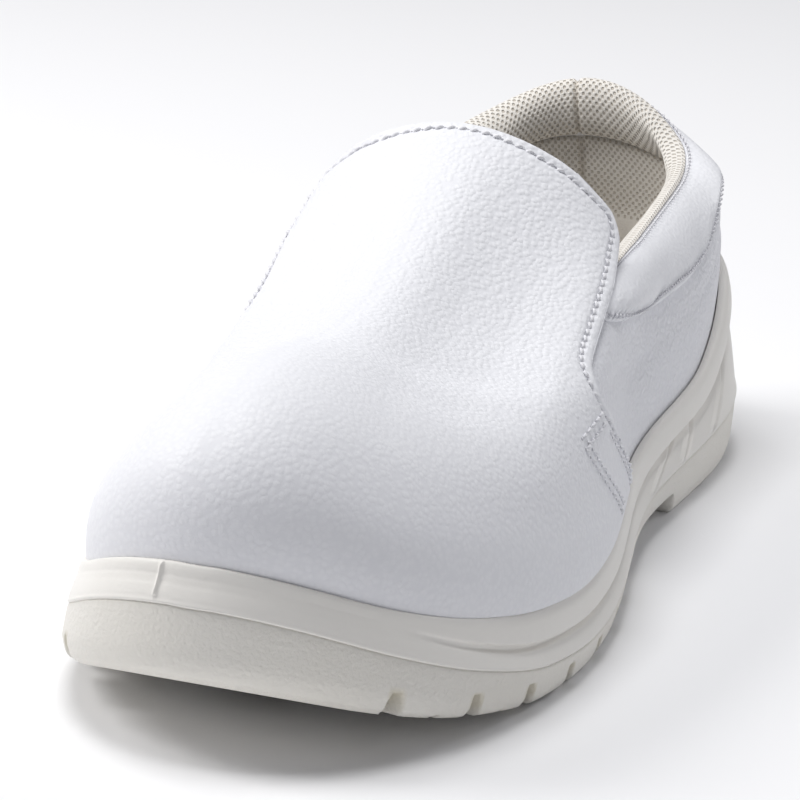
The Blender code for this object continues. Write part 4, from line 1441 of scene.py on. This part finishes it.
# Angle round the roll at which the leather gives way to the mesh: way, degrees out from the top.
LEATHER_TOP = ((0.00, 30.0), (0.12, 30.0), (0.22, 22.0), (0.30, 16.0), (0.50, 14.0), (0.70, 14.0))
MESH_FOOT = np.radians(-158.0)


def grid_reach(grid, axis):
    """Length along one axis of a grid, from its first row."""
    step = np.linalg.norm(np.diff(grid, axis=axis), axis=2)
    first = np.zeros_like(np.take(step, [0], axis=axis))
    return np.concatenate((first, np.cumsum(step, axis=axis)), axis=axis)


def knit_marks(along, around, seam, axis, before, after):
    """Marks for the knit's finish, with zeros for the grid's rows before and after its face."""
    pad = [(0, 0), (0, 0)]
    pad[axis] = (before, after)
    values = {"along": along, "around": around, "seam": seam}
    return {label: np.pad(value + 0 * around, pad) for label, value in values.items()}


turns = np.linspace(-COLLAR_END, COLLAR_END, MESH_ALONG)
outer_phi = np.radians(column(LEATHER_TOP, 1, np.abs(turns)))[:, None]
share = np.linspace(0, 1, MESH_ROUND)[None]
phi = outer_phi + (MESH_FOOT - outer_phi) * share
flat = collar_skin(turns, phi, np.zeros_like(phi))
along = grid_reach(flat[:, [RULER]], 0)
around = grid_reach(flat, 1)
holes = np.sin(along * 2 * np.pi / HOLE_ALONG) * np.sin(around * 2 * np.pi / HOLE_ROUND)
hem = np.minimum(ramp(around, 0.0, 1.2), ramp(around[:, -1:] - around, 0.0, 1.6))
back_line = np.exp(-(((along - np.interp(BACK_SEAM, turns, along[:, 0])) / BACK_SEAM_HALF) ** 2))
face_out = MESH_PROUD * hem - HOLE_DEPTH * np.clip(holes, 0, 1) * hem - BACK_SEAM_DEPTH * back_line
face_grid = collar_skin(turns, phi, face_out)
back_grid = collar_skin(turns, phi[:, ::-8], np.full_like(phi[:, ::-8], -LINING_THICK))
tube = np.concatenate((face_grid, back_grid), axis=1)
tube = drawn_in(tube, np.clip((COLLAR_END - np.abs(turns)) / MESH_CLOSE, 0.05, 1))
marks = knit_marks(along, around, back_line, 1, 0, back_grid.shape[1])
put("collar_mesh", tube, tube_faces(tube), MESH_KNIT, "insole", **marks)

# %% [markdown]
# Below the collar the same mesh lines the heel and the sides, and runs forward under the vamp. It
# is a ring like the upper's shell, a millimetre thick and set just inside it, with its closing
# line at the toe, where nothing shows.

# %% Foot lining
LINING_AROUND = 900
LINING_ROWS = 48
BACK_ROWS = 8
LINING_FACE = 1.3
LINING_BACK = 0.2

r = (1 + np.arange(LINING_AROUND) * 2 / LINING_AROUND)[None]
share = np.linspace(0, 1, LINING_ROWS)[:, None]
top = upper_end(r) + 0.014
up = top * share
r_full = np.broadcast_to(r, up.shape)
flat = skin(r_full, up, -WALL - LINING_FACE)
along = grid_reach(flat[[RULER]], 1)
around = grid_reach(flat, 0)
seam = np.exp(-(((np.mod(r - BACK_SEAM + 1, 2.0) - 1) / 0.003) ** 2)) + 0 * share
tuck = 0.9 * ramp(share, 0.95, 1.0)
face_grid = skin(r_full, up, -WALL - LINING_FACE + 0.8 * seam + tuck)
back_up = top * np.linspace(1, 0, BACK_ROWS)[:, None]
back_grid = skin(np.broadcast_to(r, back_up.shape), back_up, -WALL - LINING_BACK)
base = levels(r.ravel(), SHELF) + GAP + 0.2
ledge = levels(r.ravel(), LEDGE) + GAP + WALL
inner_foot = sole_ring(r.ravel(), ledge + LINING_FACE, base)[None]
outer_foot = sole_ring(r.ravel(), ledge + LINING_BACK, base)[None]
rings = np.concatenate((inner_foot, face_grid, back_grid, outer_foot))
marks = knit_marks(along, around, seam, 0, 1, len(back_grid) + 1)
put("foot_lining", rings, ring_faces(rings), MESH_KNIT, "insole", **marks)

# %% [markdown]
# The insole is a thin foam bed covered with cloth. Rungs cross it from side to side, its edge
# curves up a little at the walls, and the heel is dished.

# %% Insole
INSOLE = 3.5
INSOLE_DISH = 1.6
INSOLE_AROUND = 360
INSOLE_ACROSS = 40

r = np.arange(INSOLE_AROUND) * 2 / INSOLE_AROUND
inset = levels(r, LEDGE) + WALL + 6.5 * GAP
base = levels(r, SHELF) + GAP
foot_ring = sole_ring(r, inset, base)
side_ring = sole_ring(r, inset, base + INSOLE - 0.6)
top_ring = sole_ring(r, inset + 0.7, base + INSOLE)
bed, across, _ = rung_points(top_ring, INSOLE_ACROSS)
dish = 0.35 + 0.65 * (1 - ramp(station(bed[..., 1]), 0.2, 0.45))
bed[..., 2] -= INSOLE_DISH * (1 - np.abs(2 * across - 1) ** 3) * dish
rings = np.stack((foot_ring, side_ring, top_ring))
quads = bed_faces(len(rings), INSOLE_AROUND, bed.shape[:2])
points = np.vstack((rings.reshape(-1, 3), bed.reshape(-1, 3)))
insole = put("insole_bed", points, quads, INSOLE_CLOTH, "insole", "insole")

# %% [markdown]
# An oval badge is set in the waist of the tread: blue enamel, slightly domed towards the floor,
# inside a metal rim. The dome is a polar grid, and the rim a small round section carried along
# the oval.

# %% Badge
OVAL_POINTS = 96
BADGE_FACE = 4.95
BADGE_TOP = 7.2
BADGE_FILL = 0.985
RIM_HEIGHT = 5.55


def oval(scale, height, out=0.0):
    """Oval round the badge's middle at a height, scaled and then moved out."""
    turn = np.linspace(0, 2 * np.pi, OVAL_POINTS, endpoint=False)
    x = np.sin(turn) * (BADGE_WIDE * scale + out)
    y = np.cos(turn) * (BADGE_LONG * scale + out)
    return np.c_[np.c_[x, y] + seat_middle(), np.full(OVAL_POINTS, height)]


scales = np.linspace(0.02, BADGE_FILL, 24)
dome = [oval(s, BADGE_FACE + 0.55 * s**4) for s in scales]
rings = np.concatenate((*dome, oval(BADGE_FILL, BADGE_TOP)))
poles = [(*seat_middle(), high) for high in (BADGE_TOP, BADGE_FACE)]
pole = np.full((1, OVAL_POINTS), len(rings))
index = np.vstack((pole + 1, numbered(len(scales) + 1, OVAL_POINTS), pole))
points = np.vstack((rings, poles))
put("badge_enamel", points, grid_faces(index, close_columns=True), ENAMEL, "badge", "badge")
turn = np.linspace(0, 2 * np.pi, 14, endpoint=False)
tube = [oval(1.0, RIM_HEIGHT + 0.75 * np.sin(t), 0.25 + 0.85 * np.cos(t)) for t in turn]
put("badge_rim", tube, ring_faces(np.stack(tube)), RIM_METAL, "badge")

# %% [markdown]
# Stitches come last. Each is a short arch of thread between two needle holes, and all stitches of
# a row are one mesh: a little grid of the thread's surface, repeated along a path by one sum of
# arrays. The paths are lines on the last, lifted onto whatever covers it there.

# %% Stitch rows
THREAD_SIDES = 6
HOLE_RADIUS = 0.36


def even_path(points, normals, pitch):
    """Points, tangents and normals at equal lengths along a path."""
    reach = lengths(points)
    at = np.arange(pitch / 2, reach[-1], pitch)
    places = smooth_through(reach, points, at)
    tangent = smooth_through(reach, points, at + 0.3) - smooth_through(reach, points, at - 0.3)
    tangent = unit(tangent)
    normal = smooth_through(reach, normals, at)
    normal -= tangent * (normal * tangent).sum(1)[:, None]
    return places, tangent, unit(normal)


def bead(x, z, thick):
    """Small closed body: a round section of the thicknesses given, carried along x and z, with
    a pole at each end."""
    turn = np.linspace(0, 2 * np.pi, THREAD_SIDES, endpoint=False)
    y = thick[:, None] * np.cos(turn)
    high = z[:, None] + thick[:, None] * np.sin(turn)
    rings = np.dstack((np.repeat(x[:, None], THREAD_SIDES, 1), y, high))[1:-1].reshape(-1, 3)
    points = np.vstack(((x[0], 0, z[0]), rings, (x[-1], 0, z[-1])))
    index = 1 + np.arange(len(rings)).reshape(-1, THREAD_SIDES)
    first = np.zeros((1, THREAD_SIDES), int)
    index = np.vstack((first, index, first + len(points) - 1))
    return points, grid_faces(index, close_columns=True)


def repeated(points, faces, place, axes):
    """One body set at many places, each with its own three axes."""
    many = place[:, None] + sum(points[None, :, k, None] * axes[k][:, None] for k in range(3))
    quads = faces[None] + (np.arange(len(place)) * len(points))[:, None, None]
    return many.reshape(-1, 3), quads.reshape(-1, 4)


def stitch_row(points, normals, pitch, lean, radius, share):
    """Thread arches and needle holes along a path. An arch is half a sine of height over its
    share of the pitch, and a hole is a flat grey dot of painted shade between two arches."""
    place, tangent, normal = even_path(points, normals, pitch)
    side = np.cross(normal, tangent)
    forward = tangent * np.cos(lean) + side * np.sin(lean)
    axes = (forward, np.cross(normal, forward), normal)
    t = np.linspace(0, 1, 7)
    thick = radius * np.sqrt(np.clip(1 - (2 * t - 1) ** 6, 0, 1))
    arch = bead((t - 0.5) * pitch * share, 0.50 * np.sin(np.pi * t) - 0.16, thick)
    dot_x = np.array((-1, -0.5, 0.5, 1)) * HOLE_RADIUS
    dot = bead(dot_x, np.zeros(4), np.array((0, 1, 1, 0)) * HOLE_RADIUS)
    dot[0][:, 2] *= 0.30
    return repeated(*arch, place, axes), repeated(*dot, place + tangent * (pitch / 2), axes)


def gathered(rows):
    """Several bodies of points and faces as one."""
    start = np.append(0, np.cumsum([len(points) for points, _ in rows])[:-1])
    quads = [faces + first for (_, faces), first in zip(rows, start)]
    return np.vstack([points for points, _ in rows]), np.vstack(quads)


print("stitch helpers ready, needle holes", 2 * HOLE_RADIUS, "mm across")

# %% [markdown]
# The vamp's row follows the flap's free edge over the crown, down to where the tacks begin on both
# sides. There double rows tack the sheet down: one along the edge, a short slant inwards, and one
# beside the first, both to the sole. The other side of the shoe has the same rows.

# %% Rows on the vamp
# Pitch of the stitches, their lean from the row, the thread's radius, its share of the pitch.
FLAP_STITCH = (2.7, 0.42, 0.46, 0.86)
TACK_STITCH = (3.5, 0.15, 0.40, 0.66)
TACK_HALF = 1.25
# Lines of the tacks: way round a side, way up.
TACKS = (
    ((0.565, 0.283), (0.529, 0.202), (0.496, 0.110), (0.476, 0.040)),
    ((0.588, 0.318), (0.611, 0.296), (0.632, 0.273)),
    ((0.632, 0.273), (0.601, 0.205), (0.569, 0.130), (0.535, 0.050)),
)


def on_vamp(points):
    """Points moved onto the vamp's face along the normal of its nearest grid point."""
    _, number = nearest(points, vamp_face.reshape(-1, 3))
    base = vamp_face.reshape(-1, 3)[number]
    normal = vamp_normals.reshape(-1, 3)[number]
    return points - normal * ((points - base) * normal).sum(1)[:, None], normal


def tack_path(rows, side):
    """Path on the vamp for a table of way and way up, and the direction across it."""
    table = np.array(rows)
    reach = lengths(table)
    at = np.linspace(0, reach[-1], 60)
    way = smooth_through(reach, table[:, 0], at)
    up = smooth_through(reach, table[:, 1], at)
    points, normal = on_vamp(skin(way if side > 0 else 2 - way, up, 2.4))
    return points, unit(np.cross(normal, np.gradient(points, axis=0)))


above_tacks = round_edge(up_on_vamp[..., None])[:, 0] > TACKS[1][0][1] + 0.012
start, _ = on_vamp(edge_path[above_tacks])
_, number = nearest(start, vamp_face.reshape(-1, 3))
inward = unit(np.cross(vamp_normals.reshape(-1, 3)[number], np.gradient(start, axis=0)))
vamp_rows = [stitch_row(*on_vamp(start + inward * STITCH_INSET), *FLAP_STITCH)]
for side in (1, -1):
    for table in TACKS:
        points, aside = tack_path(table, side)
        beside = [on_vamp(points + aside * k * TACK_HALF) for k in (-1, 1)]
        vamp_rows += [stitch_row(*path, *TACK_STITCH) for path in beside]
print("stitch rows on the vamp:", len(vamp_rows))

# %% [markdown]
# Two more rows follow the collar. One draws the roll in along its lower edge, where the puckers are,
# and the other closes the leather over the mesh near the top of the roll.

# %% Rows on the collar
SEAM_STITCH = (SEAM_PITCH, 1.1, 0.27, 0.62)
TOP_STITCH = (2.0, 0.15, 0.26, 0.70)
TOP_ROW_BELOW = 7.0


def collar_row(degrees, stitch):
    """Stitches along the roll at an angle round it, standing on its surface."""
    turns = np.linspace(-0.67, 0.67, 700)
    phi = np.radians(degrees(np.abs(turns)))[:, None]
    foot = collar_skin(turns, phi, np.zeros_like(phi))[:, 0]
    raised = collar_skin(turns, phi, np.ones_like(phi))[:, 0]
    return stitch_row(foot, unit(raised - foot), *stitch)


low_row = collar_row(seam_angle, SEAM_STITCH)
high_row = collar_row(lambda way: column(LEATHER_TOP, 1, way) + TOP_ROW_BELOW, TOP_STITCH)
rows = [*vamp_rows, low_row, high_row]
put("stitches", *gathered([row[0] for row in rows]), THREAD, "vamp")
# The needle holes are grey dots of painted shade.
put("needle_hole_shades", *gathered([row[1] for row in rows]), NEEDLE_HOLE_SHADE, "vamp")

# %% [markdown]
# The shoe stands on a pale floor under two large soft lights, one from the upper left and one
# overhead, and a weaker one behind on the right traces the collar. Large lamps near the object give
# soft shadows, and a pale sky fills them.

# %% Floor and light
FLOOR_HALF = 12.0


def lamp(name, place, aim, size, watts, colour):
    """Square area light at a place in metres, turned to its aim."""
    data = bpy.data.lights.new(name, "AREA")
    data.size = size
    data.energy = watts
    data.color = colour
    made = bpy.data.objects.new(name, data)
    made.location = place
    made.rotation_euler = (Vector(aim) - Vector(place)).to_track_quat("-Z", "Y").to_euler()
    bpy.context.scene.collection.objects.link(made)


paper = Finish("paper", {"Base Color": tint(0.91, 0.91, 0.92), "Roughness": 0.9})
sheet = bpy.data.meshes.new("floor")
corners = [(x * FLOOR_HALF, y * FLOOR_HALF, 0) for x, y in ((-1, -1), (1, -1), (1, 1), (-1, 1))]
sheet.from_pydata(corners, [], [(0, 1, 2, 3)])
sheet.materials.append(paper.material)
ground = bpy.data.objects.new("floor", sheet)
bpy.context.scene.collection.objects.link(ground)

lamp("key", (-0.95, -0.20, 0.90), (0, 0, 0.04), 0.5, 8.0, (1.0, 0.99, 0.98))
lamp("top", (-0.20, 0.00, 1.35), (0, 0, 0.04), 0.6, 11.0, (1.0, 1.0, 1.0))
lamp("kicker", (0.75, 0.95, 0.80), (0, 0.03, 0.06), 0.4, 3.0, (1.0, 1.0, 1.0))
world = bpy.data.worlds.new("studio")
world.use_nodes = True
sky = world.node_tree.nodes["Background"].inputs
sky["Color"].default_value = tint(0.93, 0.94, 1.0)
sky["Strength"].default_value = 0.22
bpy.context.scene.world = world
bpy.context.scene.view_settings.view_transform = "Standard"
print("lamps:", len(bpy.data.lights))

# %% [markdown]
# A long lens keeps the perspective flat, as in product pictures. The camera's axes come from an
# azimuth and an elevation, and are then turned a few degrees about the line of sight.

# %% Camera
AZIMUTH, ELEVATION, ROLL = np.radians((14.9, 17.3, 4.3))
AIM = np.array((-0.0021, -0.0267, 0.0436))
CAMERA_AWAY = 0.9

level = np.cos(ELEVATION)
back = np.array((np.sin(AZIMUTH) * level, -np.cos(AZIMUTH) * level, np.sin(ELEVATION)))
right = np.array((np.cos(AZIMUTH), np.sin(AZIMUTH), 0))
above = np.cross(back, right)
turned_right = right * np.cos(ROLL) + above * np.sin(ROLL)
turned_above = above * np.cos(ROLL) - right * np.sin(ROLL)
lens = bpy.data.cameras.new("camera")
lens.lens = 187.0
lens.sensor_width = 36.0
camera = bpy.data.objects.new("camera", lens)
pose = np.eye(4)
pose[:3, :3] = np.c_[turned_right, turned_above, back]
pose[:3, 3] = AIM + back * CAMERA_AWAY
camera.matrix_world = Matrix(pose.tolist())
bpy.context.scene.collection.objects.link(camera)
bpy.context.scene.camera = camera
print("camera", round(float(np.degrees(ELEVATION)), 1), "degrees above the floor")

# %% [markdown]
# The last cell brings the view layer up to date.

# %% View layer
bpy.context.view_layer.update()
